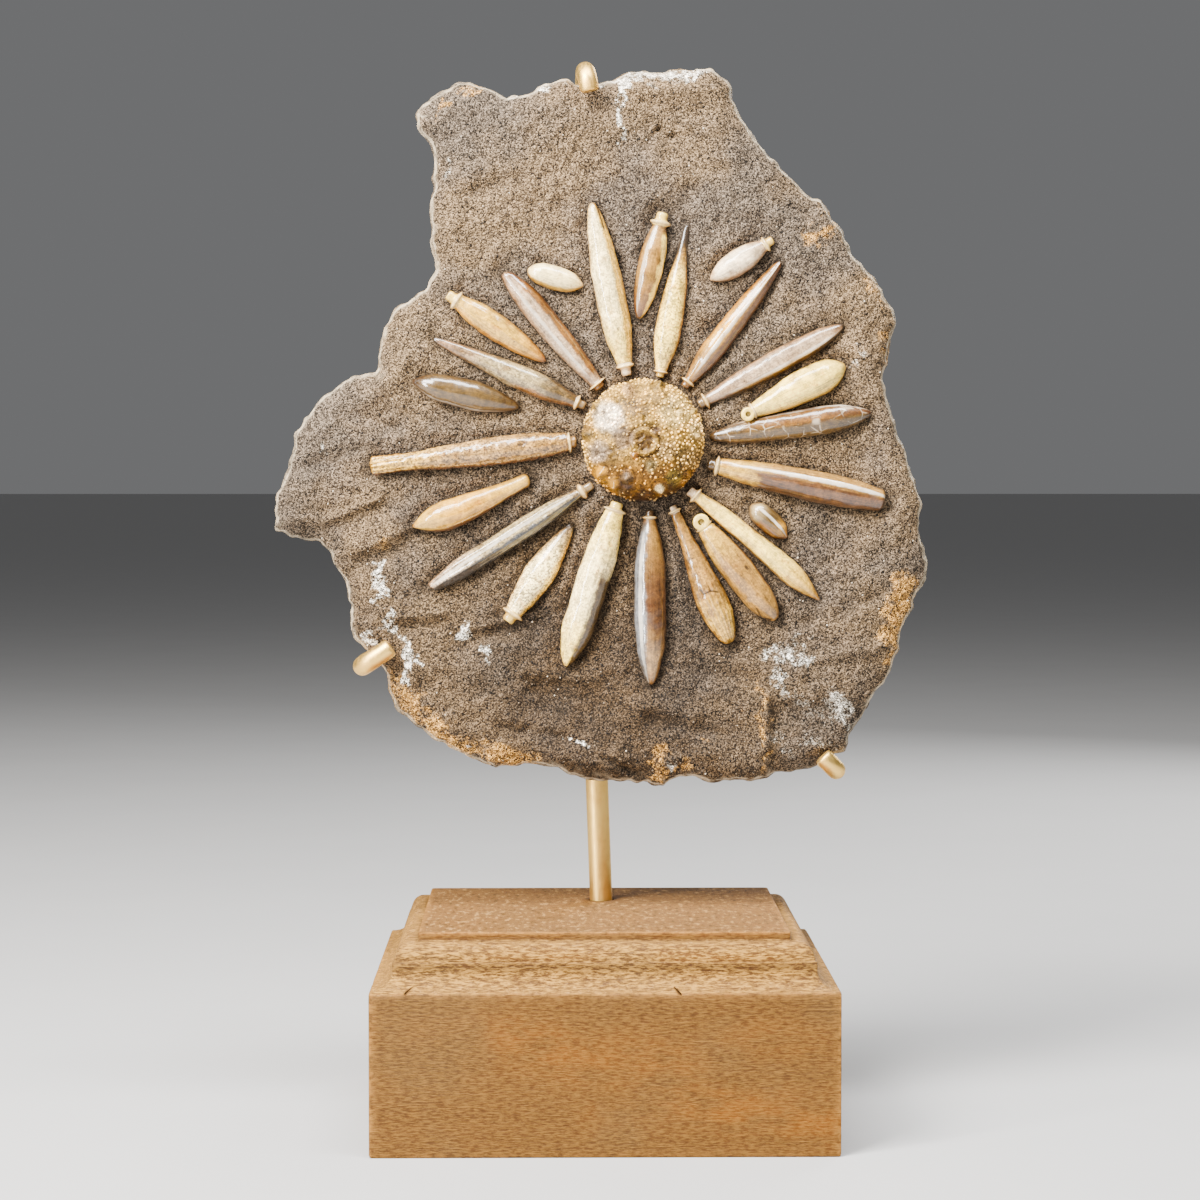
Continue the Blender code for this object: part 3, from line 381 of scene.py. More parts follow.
class TestSettings(bpy.types.PropertyGroup):
    granule_spacing: FloatProperty(
        name="Granule spacing", description="Least distance between granules",
        default=0.00074, min=0.0004, max=0.004, unit="LENGTH")
    granule_size: FloatProperty(
        name="Granule size", description="Radius of the largest granules",
        default=0.00042, min=0.0001, max=0.001, unit="LENGTH")
    upper: FloatVectorProperty(
        name="Upper tone", description="Colour of the test's pale upper half", subtype="COLOR",
        default=(0.60, 0.34, 0.060), min=0, max=1)
    # The lower tone is partly the test's own brown, partly painted shade on its underside
    lower: FloatVectorProperty(
        name="Lower tone", description="Colour of the test's stained lower half", subtype="COLOR",
        default=(0.40, 0.165, 0.010), min=0, max=1)


class SpineSettings(bpy.types.PropertyGroup):
    sides: IntProperty(
        name="Sides", description="Faces round each spine", default=56, min=12, max=128)
    step: FloatProperty(
        name="Ring spacing", description="Spacing of the rings of faces",
        default=0.00045, min=0.0002, max=0.005, unit="LENGTH")
    gloss: FloatProperty(
        name="Gloss", description="Strength of the spines' polish",
        default=0.9, min=0, max=1, subtype="FACTOR")
    button: FloatVectorProperty(
        name="Ring", description="Colour of the collars' rings", subtype="COLOR",
        default=(0.80, 0.56, 0.22), min=0, max=1)


class BrassSettings(bpy.types.PropertyGroup):
    post_radius: FloatProperty(
        name="Post radius", description="Radius of the upright rod",
        default=0.0029, min=0.001, max=0.01, unit="LENGTH")
    arm_radius: FloatProperty(
        name="Arm radius", description="Radius of the three claws",
        default=0.0024, min=0.001, max=0.01, unit="LENGTH")
    lean: FloatProperty(
        name="Lean", description="Lean to the left per height",
        default=0.0355, min=0, max=0.1)
    brass: FloatVectorProperty(
        name="Brass", description="Colour of the metal", subtype="COLOR",
        default=(0.95, 0.62, 0.165), min=0, max=1)


class BaseSettings(bpy.types.PropertyGroup):
    width: FloatProperty(
        name="Width", description="Width of the block", default=0.112, min=0.02, unit="LENGTH")
    depth: FloatProperty(
        name="Depth", description="Depth of the block", default=0.102, min=0.02, unit="LENGTH")
    block_height: FloatProperty(
        name="Block height", description="Height of the block up to its moulding",
        default=0.0392, min=0.005, unit="LENGTH")
    cove_width: FloatProperty(
        name="Cove width", description="How far the hollow of the moulding steps in",
        default=0.0053, min=0.001, unit="LENGTH")
    cove_height: FloatProperty(
        name="Cove height", description="Height of the moulding's hollow",
        default=0.0044, min=0.001, unit="LENGTH")
    rounding: FloatProperty(
        name="Edge rounding", description="Radius of the sanded edges",
        default=0.0006, min=0.0001, max=0.003, unit="LENGTH")
    pale_wood: FloatVectorProperty(
        name="Pale wood", description="Colour of the wood between the grain", subtype="COLOR",
        default=(0.089, 0.0345, 0.0054), min=0, max=1)
    dark_wood: FloatVectorProperty(
        name="Dark grain", description="Colour of the grain lines", subtype="COLOR",
        default=(0.045, 0.015, 0.0016), min=0, max=1)


class StageSettings(bpy.types.PropertyGroup):
    floor: FloatVectorProperty(
        name="Floor", description="Colour of the floor", subtype="COLOR",
        default=(0.46, 0.455, 0.45), min=0, max=1)
    key_power: FloatProperty(
        name="Key light", description="Power of the upper left light in watts",
        default=24.0, min=0)
    fill_power: FloatProperty(
        name="Strip light", description="Power of the left light in watts",
        default=14.0, min=0)
    top_power: FloatProperty(
        name="Top light", description="Power of the light above in watts",
        default=22.0, min=0)
    back_power: FloatProperty(
        name="Back light", description="Power of the light behind, in watts",
        default=7.0, min=0)
    sky: FloatProperty(
        name="Surroundings", description="Brightness of the plain surroundings",
        default=0.17, min=0)
    lens: FloatProperty(
        name="Lens", description="Focal length of the camera in millimetres", default=90.0, min=10.0)


# -------- nodes

def linked(*values):
    """Those of the values that come out of a node."""
    return [value for value in values if isinstance(value, bpy.types.NodeSocket)]


def feed(tree, socket, value):
    """Links a socket, or gives it a plain value."""
    if linked(value):
        tree.links.new(value, socket)
    elif socket.type == "RGBA" and len(value) == 3:
        socket.default_value = (*value, 1)
    else:
        socket.default_value = value


def node(tree, kind, inputs=None, **settings):
    """Adds a node; inputs pairs sockets with what they get."""
    made = tree.nodes.new(kind)
    for name, value in settings.items():
        setattr(made, name, value)
    for key, value in (inputs or {}).items():
        feed(tree, made.inputs[key], value)
    return made


def first(tree, kind, inputs=None, **settings):
    """The first output of a new node."""
    return node(tree, kind, inputs, **settings).outputs[0]


def maths(operation, *values, clamp=False):
    """A maths node in the tree of its first linked value."""
    return first(linked(*values)[0].id_data, "ShaderNodeMath", dict(enumerate(values)),
                 operation=operation, use_clamp=clamp)


def chained(operation):
    """Joins two or more values by one kind of maths."""
    return lambda *values, clamp=False: functools.reduce(
        lambda total, value: maths(operation, total, value, clamp=clamp), values)


times, plus, minus, over = (chained(name) for name in ("MULTIPLY", "ADD", "SUBTRACT", "DIVIDE"))


def blend(share, low, high, kind="MIX"):
    """Mixes two colours by a share from 0 to 1."""
    return node(linked(share, low, high)[0].id_data, "ShaderNodeMix", {0: share, 6: low, 7: high},
                data_type="RGBA", blend_type=kind).outputs[2]


def ease(value, start, end, low=0, high=1):
    """Turns start..end into low..high with soft ends."""
    return first(value.id_data, "ShaderNodeMapRange", {0: value, 1: start, 2: end, 3: low, 4: high},
                 interpolation_type="SMOOTHSTEP")


def lumps(place, size, detail=2.0, roughness=0.5, warp=0):
    """Noise from 0 to 1 with lumps of a size in millimetres, a number or a socket."""
    scale = over(1 / MM, size) if linked(size) else 1 / (size * MM)
    return first(place.id_data, "ShaderNodeTexNoise", {"Vector": place, "Scale": scale,
                 "Detail": detail, "Roughness": roughness, "Distortion": warp})


def stretch(place, scale):
    """The place, scaled differently along each axis."""
    return first(place.id_data, "ShaderNodeMapping", {"Vector": place, "Scale": scale})


def painted(tree, name):
    """A value that is stored on the mesh."""
    return node(tree, "ShaderNodeAttribute", attribute_name=name).outputs["Fac"]


def bump(height, distance, strength=1):
    return first(height.id_data, "ShaderNodeBump", {"Height": height, "Distance": distance * MM,
                 "Strength": strength})


def tinted(colour, gains):
    return tuple(value * gain for value, gain in zip(colour, gains))


def toned(colour, tone, share, strength=1, kind="MIX"):
    """A named tone laid over a colour."""
    share = share if strength == 1 else times(share, strength)
    return blend(share, colour, TONES[tone], kind)


def brightened(colour, gain):
    """A colour times a number, its hue kept."""
    tone = first(colour.id_data, "ShaderNodeCombineColor", {0: gain, 1: gain, 2: gain})
    return blend(1, colour, tone, "MULTIPLY")


def new_material(name):
    """A material, its node tree and the place on the object."""
    material = bpy.data.materials.new(name)
    material.use_nodes = True
    tree = material.node_tree
    return material, tree, node(tree, "ShaderNodeTexCoord").outputs["Object"]


def finished(material, **values):
    """The material, its shader's sockets linked or set."""
    tree = material.node_tree
    for name, value in values.items():
        feed(tree, tree.nodes["Principled BSDF"].inputs[name.replace("_", " ")], value)
    return material


def new_tree(name, kind, inputs):
    """A node tree and its inputs; words stand for kinds of socket."""
    tree = bpy.data.node_groups.new(name, kind)
    for label, value in inputs.items():
        sort = {str: value, tuple: "Color", int: "Int", float: "Float"}[type(value)]
        socket = tree.interface.new_socket(label, in_out="INPUT", socket_type=f"NodeSocket{sort}")
        if sort != value:
            socket.default_value = (*value, 1) if sort == "Color" else value
    return tree, tree.nodes.new("NodeGroupInput").outputs


def end_group(tree, **results):
    """Gives a shader node group its outputs."""
    outs = tree.nodes.new("NodeGroupOutput")
    for label, value in results.items():
        sort = "Color" if label == "Colour" else "Float"
        tree.interface.new_socket(label, in_out="OUTPUT", socket_type=f"NodeSocket{sort}")
        feed(tree, outs.inputs[label], value)


def effect(name, place, **values):
    """The outputs of a node group put at a place."""
    return node(place.id_data, "ShaderNodeGroup", {"Vector": place, **values},
                node_tree=bpy.data.node_groups[name]).outputs


def speckle_group():
    """Light and dark grains of one size, with their height."""
    tree, take = new_tree("speckle", "ShaderNodeTree", {"Vector": "Vector", "Size": 0.5, "Spread": 0.12})
    soft = lumps(take["Vector"], take["Size"], 3.0, 0.65)
    grain = node(tree, "ShaderNodeTexVoronoi", {"Vector": take["Vector"],
                 "Scale": over(1 / MM, take["Size"])}).outputs
    pick = first(tree, "ShaderNodeSeparateColor", {0: grain["Color"]})
    value = plus(times(soft, 0.6), times(pick, 0.4))
    below, above = minus(0.5, take["Spread"]), plus(0.5, take["Spread"])
    end_group(tree, Dark=ease(value, below, minus(below, 0.12)), Light=ease(value, above, plus(above, 0.12)),
              Height=plus(times(minus(1, grain["Distance"]), 0.5), times(soft, 0.5)))


def grained(colour, grains, dark, light):
    """A colour made darker and lighter by the two kinds of grain."""
    return brightened(colour, times(minus(1, times(grains["Dark"], dark)),
                                    plus(1, times(grains["Light"], light))))


def pinhole_group():
    """Scattered round dark holes of one radius, in cells of one size."""
    tree, take = new_tree("pinholes", "ShaderNodeTree",
                          {"Vector": "Vector", "Cell": 6.0, "Radius": 0.25, "Share": 0.5})
    spot = node(tree, "ShaderNodeTexVoronoi", {"Vector": take["Vector"],
                "Scale": over(1 / MM, take["Cell"])}).outputs
    reach = over(take["Radius"], take["Cell"])
    inside = ease(spot["Distance"], times(reach, 1.3), times(reach, 0.6))
    pick = first(tree, "ShaderNodeSeparateColor", {0: spot["Color"]})
    end_group(tree, Hole=times(inside, maths("LESS_THAN", pick, take["Share"])))


def mottle_group():
    """The colour made darker or lighter in soft patches."""
    tree, take = new_tree("mottle", "ShaderNodeTree", {"Vector": "Vector", "Colour": (0.5, 0.5, 0.5),
                                                       "Size": 10.0, "Amount": 0.2})
    soft = lumps(take["Vector"], take["Size"], 4.0, 0.6)
    gain = plus(1, times(minus(soft, 0.5), take["Amount"], 4.0))
    end_group(tree, Colour=brightened(take["Colour"], gain))


def calcite_group():
    """The spines' polished mineral, coloured along and round the spine, with a painted highlight line and
    painted shade on the flanks and at the foot.
    """
    colours = {label: (0.5, 0.4, 0.3) for label in ("Root", "Middle", "Tip", "Side", "Button", "Ring")}
    tree, take = new_tree("calcite", "ShaderNodeTree", {"Vector": "Vector", **colours, **CALCITE_VALUES})
    place, along, around = take["Vector"], painted(tree, "along"), painted(tree, "around")
    wander = minus(lumps(place, 4.0, 3.0), 0.5)
    fine = minus(lumps(place, 1.3, 3.0), 0.5)
    drift = plus(along, times(wander, 0.3))
    colour = blend(ease(drift, 0.12, 0.45), take["Root"], take["Middle"])
    colour = blend(ease(drift, 0.6, 0.92), colour, take["Tip"])

    turned = times(minus(around, take["Side At"]), take["Side Turn"])
    turned = plus(turned, times(wander, 0.22), times(fine, 0.12))
    side = times(ease(turned, -0.03, 0.07), ease(minus(drift, take["Side From"]), -0.03, 0.08),
                 ease(minus(take["Side To"], drift), -0.05, 0.08))
    colour = blend(side, colour, take["Side"])

    flow = node(tree, "ShaderNodeCombineXYZ", {0: times(along, 3.0), 1: times(around, 34.0), 2: wander})
    stripe = first(tree, "ShaderNodeTexNoise", {"Vector": flow.outputs[0], "Scale": 1, "Detail": 3.0,
                   "Roughness": 0.6})
    stripe = times(minus(stripe, 0.5), take["Streaks"])
    colour = brightened(colour, plus(1, times(stripe, 2.6), times(fine, 1.3), times(wander, 1.3)))
    stain = ease(lumps(place, 2.4, 4.0, 0.7), 0.52, 0.68, 0, 0.7)
    colour = toned(colour, "tea", stain, kind="MULTIPLY")
    grains = effect("speckle", place, Size=0.42, Spread=0.03)
    dark = times(grains["Dark"], take["Specks"])
    colour = grained(colour, grains, times(take["Specks"], 0.7), times(take["Specks"], 0.8))
    crack = node(tree, "ShaderNodeTexVoronoi", {"Vector": place, "Scale": 1 / (3.4 * MM)},
                 feature="DISTANCE_TO_EDGE").outputs["Distance"]
    vein = times(ease(crack, 0.05, 0), take["Veins"], ease(wander, -0.05, 0.08))
    colour = toned(colour, "vein", vein)

    # Painted highlight: a pale line along the spine at the angle Line At
    off_line = plus(maths("ABSOLUTE", minus(around, take["Line At"])), times(fine, 0.05))
    line = times(ease(off_line, 0.06, 0.025), take["Line"], ease(wander, -0.2, 0.05, 0.35),
                 ease(along, 0.08, 0.2))
    colour = toned(colour, "line", line, 0.8)
    hole = effect("pinholes", place, Cell=3.2, Radius=0.2, Share=0.35)["Hole"]
    colour = toned(colour, "spine pit", hole, 0.8)
    colour = toned(colour, "crack", ease(painted(tree, "crack"), 0.3, 0.8, 0, 0.9))

    head, proud = painted(tree, "head"), painted(tree, "proud")
    button = blend(ease(head, 0.65, 0.9), take["Button"], take["Ring"])
    button = effect("mottle", place, Colour=button, Size=1, Amount=0.4)["Colour"]
    colour = blend(ease(head, 0.1, 0.4), colour, button)
    # Painted shade: the spine's flanks, low towards the rock, darker than its crest
    flank_shade = ease(plus(proud, times(wander, 1.5)), 2.6, 0.3)
    colour = toned(colour, "flank_shade", flank_shade, kind="MULTIPLY")
    # Painted shade where the spine meets the rock
    colour = toned(colour, "foot", ease(proud, 0.7, 0.1))
    end_group(tree, Colour=colour,
              Roughness=plus(times(fine, 0.25), 0.33, times(dark, 0.25), times(head, 0.18), clamp=True),
              Height=plus(times(stripe, 0.8), times(dark, -0.5), times(hole, -1.5), times(fine, 0.6)))


# -------- materials

def broken_patch(mask, place, size, start, end):
    """A painted mask, eaten away by fine noise and by lumps."""
    eaten = plus(lumps(place, size, 4, 0.75), lumps(place, size * 4, 2))
    return ease(times(mask, plus(0.85, times(minus(eaten, 1), 3.0))), start, end)


def sandstone(settings):
    """Grey-brown sandstone with grains, white chalk, rusty crusts and pin holes; painted shade towards the
    bottom and in hollows, and a painted highlight along the rim.
    """
    material, tree, place = new_material("sandstone")
    warm, cool = (tinted(settings.stone, gains) for gains in ((1.16, 1.06, 0.84), (0.78, 0.81, 0.86)))
    patch = ease(lumps(place, 30, 4, 0.6), 0.38, 0.62)
    colour = blend(patch, cool, warm)
    split = node(tree, "ShaderNodeSeparateXYZ", {0: place}).outputs
    # Painted shade: darker towards the bottom of the slab
    beside = maths("ABSOLUTE", minus(split[0], LOW_SHADE_X))
    low_shade = times(ease(plus(split[2], times(patch, 0.02)), *LOW_SHADE_HEIGHTS),
                 ease(beside, 0.02, 0.05, 1, 0.52), ease(split[0], LOW_SHADE_X, 0.04, 1, 0.6))
    colour = toned(colour, "low_shade", low_shade, kind="MULTIPLY")
    colour = effect("mottle", place, Colour=colour, Size=5.0, Amount=0.17)["Colour"]
    iron = times(broken_patch(painted(tree, "iron"), place, 1, 0.14, 0.66), 0.92)
    rust = blend(ease(lumps(place, 0.9, 4, 0.7), 0.38, 0.60), TONES["dark rust"], tuple(settings.iron))
    rust = toned(rust, "pale rust", ease(lumps(place, 1.6, 4, 0.8), 0.58, 0.70))
    colour = blend(iron, colour, rust)
    chalk = times(broken_patch(painted(tree, "chalk"), place, 0.36, 0.18, 1), 0.8)
    colour = blend(chalk, colour, tuple(settings.chalk))

    fine = effect("speckle", place, Size=0.27, Spread=0.02)
    coarse = effect("speckle", place, Size=0.7, Spread=0.11)
    colour = grained(colour, fine, 0.9, 2.2)
    colour = grained(colour, coarse, 0.42, 0.5)
    colour = toned(colour, "shade", painted(tree, "shade"), 0.6)
    # Painted highlight: a pale line along the slab's rim
    rim = times(painted(tree, "rim"), ease(lumps(place, 2.0, 3), 0.32, 0.56, 0.1))
    colour = toned(colour, "rim", rim, 0.85)
    hole = effect("pinholes", place, Cell=4.6, Radius=0.28, Share=0.5)["Hole"]
    colour = toned(colour, "rock pit", hole, 0.9)
    height = plus(times(fine["Height"], 0.7), coarse["Height"], times(hole, -2.5))
    return finished(material, Base_Color=colour, Roughness=ease(fine["Light"], 0, 1, 0.9, 0.5),
                    Specular_IOR_Level=0.2, Normal=bump(height, 0.36, 1))


def loose_sand():
    """Single grains: clear, white, brown and black ones."""
    material, tree, place = new_material("loose_sand")
    pick = painted(tree, "pick")
    colour = blend(ease(pick, 0.34, 0.38), TONES["black sand"], TONES["brown sand"])
    colour = toned(colour, "tan sand", ease(pick, 0.62, 0.68))
    colour = toned(colour, "white sand", ease(pick, 0.955, 0.965))
    colour = effect("mottle", place, Colour=colour, Size=0.3, Amount=0.2)["Colour"]
    return finished(material, Base_Color=colour, Roughness=ease(pick, 0.5, 1, 0.85, 0.45))


def shell():
    """The test's calcite: pale above, stained brown below and darker at the lower rim by painted shade, with
    painted shade in its hollows and glossy amber lumps.
    """
    material, tree, place = new_material("shell")
    tint = node(tree, "ShaderNodeAttribute", attribute_name="tint").outputs["Color"]
    colour = effect("mottle", place, Colour=tint, Size=1.6, Amount=0.5)["Colour"]
    grains = effect("speckle", place, Size=0.4, Spread=0.05)
    colour = grained(colour, grains, 0.6, 0.7)
    wet = painted(tree, "gloss")
    colour = blend(ease(wet, 0.6, 0.9, 0, 0.8), colour, tint)
    # Painted shade in the test's grooves, pores and other low places
    colour = toned(colour, "test hollow shade", painted(tree, "hollow"), 0.85)
    granule = painted(tree, "granule")
    colour = brightened(colour, plus(1, times(granule, 3.0)))
    colour = toned(colour, "granule", granule, 0.22)
    return finished(material, Base_Color=colour, Roughness=ease(wet, 0, 1, 0.5, 0.2),
                    Coat_Weight=plus(ease(wet, 0, 0.8, 0.03, 0.5), times(granule, 0.4)),
                    Coat_Roughness=0.07, Specular_IOR_Level=0.15, Normal=bump(grains["Height"], 0.15, 0.9))


def calcite(number, spine, settings):
    """One spine's own colours in the shared mineral."""
    material, _, place = new_material(f"calcite_{number:02d}")
    colours = dict(zip(("Root", "Middle", "Tip"), (PALETTE[tone] for tone in spine["tones"])))
    side, *turning = spine.get("side", ("tan", 2.0, 1, 2.0))
    values = dict(zip(CALCITE_VALUES, (*map(float, turning), spine.get("side_to", 2.0),
                                       *spine.get("line", (0, 0)))))
    for label in ("Specks", "Streaks", "Veins"):
        values[label] = spine.get(label.lower(), CALCITE_VALUES[label])
    result = effect("calcite", place, **colours, **values, Side=PALETTE[side],
                    Ring=tuple(settings.button), Button=PALETTE[spine.get("button", "cream")])
    return finished(material, Base_Color=result["Colour"], Roughness=result["Roughness"],
                    Normal=bump(result["Height"], 0.11, 0.9), Specular_IOR_Level=0.25,
                    Coat_Weight=settings.gloss, Coat_Roughness=0.12, Coat_IOR=1.7)


def satin_brass(settings):
    """Brushed brass with a little tarnish."""
    material, tree, place = new_material("satin_brass")
    brass = tuple(settings.brass)
    dull = tinted(brass, (0.70, 0.60, 0.50))
    tarnish = ease(lumps(place, 7, 4, 0.65), 0.42, 0.75)
    colour = blend(times(tarnish, 0.55), brass, dull)
    scratch = lumps(stretch(place, (1, 1, 0.12)), 0.5, 3, 0.6)
    hole = effect("pinholes", place, Cell=2.6, Radius=0.16, Share=0.4)["Hole"]
    colour = toned(colour, "brass pit", hole, 0.6)
    rough = plus(ease(scratch, 0.3, 0.7, 0.34, 0.5), times(tarnish, 0.1))
    return finished(material, Base_Color=colour, Roughness=rough, Normal=bump(scratch, 0.02, 0.5),
                    Metallic=1)


def timber(settings):
    """Fine-grained brown wood, its fibres running along X, with short dark and pale flecks; painted shade in
    its hollows, a painted sheen with the dust on top, and partly painted highlights in the torn flecks and
    worn edges.
    """
    material, tree, place = new_material("timber")
    pale, dark = tuple(settings.pale_wood), tuple(settings.dark_wood)
    thread = lumps(stretch(place, (0.07, 1, 1)), 0.22, 3, 0.7)
    band = lumps(stretch(place, (0.04, 1, 1)), 3.0, 4, 0.6, 0.3)
    fleck = lumps(stretch(place, (0.09, 1, 1)), 0.22, 1, 0.5)
    ray = lumps(stretch(place, (0.08, 0.7, 1)), 0.22, 2, 0.6)
    colour = blend(ease(band, 0.30, 0.70, 0, 0.6), pale, dark)
    orange = times(painted(tree, "warm"), ease(lumps(stretch(place, (0.4, 1, 1)), 5, 4, 0.6), 0.3, 0.6))
    colour = toned(colour, "orange", orange, 0.95)
    greyed = ease(lumps(place, 30, 3, 0.5), 0.48, 0.68)
    colour = toned(colour, "greyed", greyed, 0.6)
    # Dust and a painted sheen on the faces that look up
    upward = painted(tree, "dust")
    colour = toned(colour, "dust_and_sheen", upward, 0.6)
    mark = lumps(stretch(place, (0.3, 0.12, 1)), 0.42, 2, 0.7)
    colour = toned(colour, "dark mark", times(upward, ease(mark, 0.44, 0.32)))
    colour = toned(colour, "pale mark", times(upward, ease(mark, 0.55, 0.68, 0, 0.9)))
    colour = blend(ease(thread, 0.45, 0.66, 0, 0.32), colour, dark)
    colour = toned(colour, "ray", ease(ray, 0.54, 0.68, 0, 0.32))
    colour = toned(colour, "fleck", ease(fleck, 0.57, 0.68, 0, 0.3))
    # Bright torn-grain flecks, chiefly on the moulding: torn fibres, partly a painted highlight where they
    # catch the light
    torn = times(painted(tree, "torn"), ease(lumps(stretch(place, (0.25, 1, 1)), 0.5, 3, 0.7), 0.38, 0.62))
    colour = toned(colour, "torn", torn, 0.62)
    # Lighter worn arrises, partly a painted edge highlight
    worn = times(painted(tree, "edge"), ease(lumps(place, 2.0, 4, 0.7), 0.35, 0.6))
    colour = toned(colour, "worn", worn, 0.5)
    # Painted shade under the ovolo, under the top's fillet and round the post
    colour = toned(colour, "wood hollow shade", painted(tree, "hollow"), 0.65)
    height = plus(thread, times(fleck, -0.8), times(torn, 1.2))
    return finished(material, Base_Color=colour, Roughness=ease(thread, 0.3, 0.7, 0.6, 0.8),
                    Specular_IOR_Level=0.15, Normal=bump(height, 0.18, 0.8))


def plain(name, colour, roughness):
    """One tone with a faint unevenness."""
    material, _, place = new_material(name)
    tone = effect("mottle", place, Colour=colour, Size=60.0, Amount=0.02)["Colour"]
    return finished(material, Base_Color=tone, Roughness=roughness)


# -------- meshes

def solid(name, places, faces):
    """A closed mesh from places in millimetres, its faces turned outwards."""
    mesh = bpy.data.meshes.new(name)
    mesh.from_pydata((np.asarray(places) * MM).tolist(), [], faces)
    bm = bmesh.new()
    bm.from_mesh(mesh)
    bmesh.ops.recalc_face_normals(bm, faces=bm.faces)
    bm.to_mesh(mesh)
    bm.free()
    return mesh


def tube(rings, sides):
    """Faces of a skin of rings that ends at two poles, listed last."""
    count = rings * sides
    faces = []
    for j in range(sides):
        after = (j + 1) % sides
        faces += [(count, after, j), (count + 1, count - sides + j, count - sides + after)]
        faces += [(row + j, row + after, row + sides + after, row + sides + j)
                  for row in range(0, count - sides, sides)]
    return faces


def in_scene(name, data):
    made = bpy.data.objects.new(name, data)
    bpy.context.scene.collection.objects.link(made)
    return made


def paint(mesh, **layers):
    """Stores numbers, or linear colours (n, 3), by name for each corner point of a mesh."""
    for name, values in layers.items():
        values = np.asarray(values, dtype=np.float32)
        if values.ndim == 1:
            mesh.attributes.new(name, "FLOAT", "POINT").data.foreach_set("value", values)
        else:
            rows = np.pad(values, ((0, 0), (0, 1)), constant_values=1).ravel()
            mesh.attributes.new(name, "FLOAT_COLOR", "POINT").data.foreach_set("color", rows)


def read_points(mesh, field):
    flat = np.empty(len(mesh.vertices) * 3)
    mesh.vertices.foreach_get(field, flat)
    return flat.reshape(-1, 3)


def points_of(mesh):
    """The mesh's corner points (n, 3) in millimetres."""
    return read_points(mesh, "co") / MM


def normals_of(mesh):
    """The directions (n, 3) that the mesh faces at its corner points."""
    return read_points(mesh, "normal")


def move_points(mesh, places):
    mesh.vertices.foreach_set("co", (np.asarray(places) * MM).ravel())
    mesh.update()


def settled(holder, material, sharp=False):
    """Makes an object's evaluated shape its own plain mesh."""
    bpy.context.view_layer.update()
    seen = bpy.context.evaluated_depsgraph_get()
    shaped = bpy.data.meshes.new_from_object(holder.evaluated_get(seen), preserve_all_data_layers=True,
                                             depsgraph=seen)
    old = holder.data
    holder.modifiers.clear()
    holder.data = shaped
    bpy.data.meshes.remove(old)
    shaped.name = holder.name
    shaped.materials.clear()
    if material:
        shaped.materials.append(material)
    shaped.shade_smooth()
    if sharp:
        shaped.set_sharp_from_angle(angle=SHARP_ANGLE)
    return holder


def hand_over(piece, slot, *nodes):
    """Ties a finished piece to the part."""
    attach(piece, "root")
    if nodes:
        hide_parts(*nodes)


# -------- geometry nodes

def end_tree(tree, geometry, material):
    """Ends a tree in Realize Instances and Set Material."""
    tree.interface.new_socket("Geometry", in_out="OUTPUT", socket_type="NodeSocketGeometry")
    real = first(tree, "GeometryNodeRealizeInstances", {"Geometry": geometry})
    coloured = first(tree, "GeometryNodeSetMaterial", {"Geometry": real, "Material": material})
    node(tree, "NodeGroupOutput", {"Geometry": coloured})


def run_tree(holder, tree_name, values):
    """Puts a tree on an object and sets its inputs by identifier."""
    modifier = holder.modifiers.new(tree_name, "NODES")
    modifier.node_group = bpy.data.node_groups[tree_name]
    sockets = {item.name: item.identifier for item in modifier.node_group.interface.items_tree
               if item.item_type == "SOCKET" and item.in_out == "INPUT"}
    for label, value in values.items():
        modifier[sockets[label]] = value
    return modifier


def stored(tree, name):
    """A value stored on the mesh, read in a Geometry Nodes tree."""
    return first(tree, "GeometryNodeInputNamedAttribute", {"Name": name}, data_type="FLOAT")


def spread(tree, low, high, seed):
    """A random number between low and high for each point."""
    return node(tree, "FunctionNodeRandomValue", {2: low, 3: high, 8: seed}, data_type="FLOAT").outputs[1]


def random_turn(tree, seed):
    return first(tree, "FunctionNodeRandomValue", {0: (0, 0, 0), 1: (math.tau, math.tau, math.tau),
                 8: seed}, data_type="FLOAT_VECTOR")


def rod_tree():
    """A round rod along the object's line; the stored girth swells or tapers it."""
    tree, ins = new_tree("rod", "GeometryNodeTree", {
        "Geometry": "Geometry", "Radius": 0.0024, "Sides": 40, "Material": "Material"})
    line = first(tree, "GeometryNodeMeshToCurve", {"Mesh": ins["Geometry"]})
    ring = first(tree, "GeometryNodeCurvePrimitiveCircle", {"Resolution": ins["Sides"],
                 "Radius": ins["Radius"]}, mode="RADIUS")
    rod = first(tree, "GeometryNodeCurveToMesh", {"Curve": line, "Profile Curve": ring,
                "Fill Caps": True, "Scale": stored(tree, "girth")})
    end_tree(tree, rod, ins["Material"])


def grains_tree():
    """Loose grains over the sandy parts of a surface."""
    tree, ins = new_tree("grains", "GeometryNodeTree", {
        "Geometry": "Geometry", "Density": 1000.0, "Size": 0.0003, "Seed": SEED, "Material": "Material"})
    spots = node(tree, "GeometryNodeDistributePointsOnFaces",
                 {"Mesh": ins["Geometry"], "Density": times(ins["Density"], stored(tree, "sandy")),
                  "Seed": ins["Seed"]}, distribute_method="RANDOM").outputs["Points"]
    grain = first(tree, "GeometryNodeMeshIcoSphere", {"Radius": ins["Size"], "Subdivisions": 1})
    size = first(tree, "ShaderNodeCombineXYZ", {0: spread(tree, 0.4, 1, 1), 1: spread(tree, 0.4, 1, 2),
                 2: spread(tree, 0.4, 0.9, 3)})
    placed = first(tree, "GeometryNodeInstanceOnPoints", {"Points": spots, "Instance": grain,
                   "Rotation": random_turn(tree, 4), "Scale": size})
    picked = first(tree, "GeometryNodeStoreNamedAttribute", {"Geometry": placed, "Name": "pick",
                   "Value": spread(tree, 0, 1, 5)}, data_type="FLOAT", domain="INSTANCE")
    end_tree(tree, picked, ins["Material"])


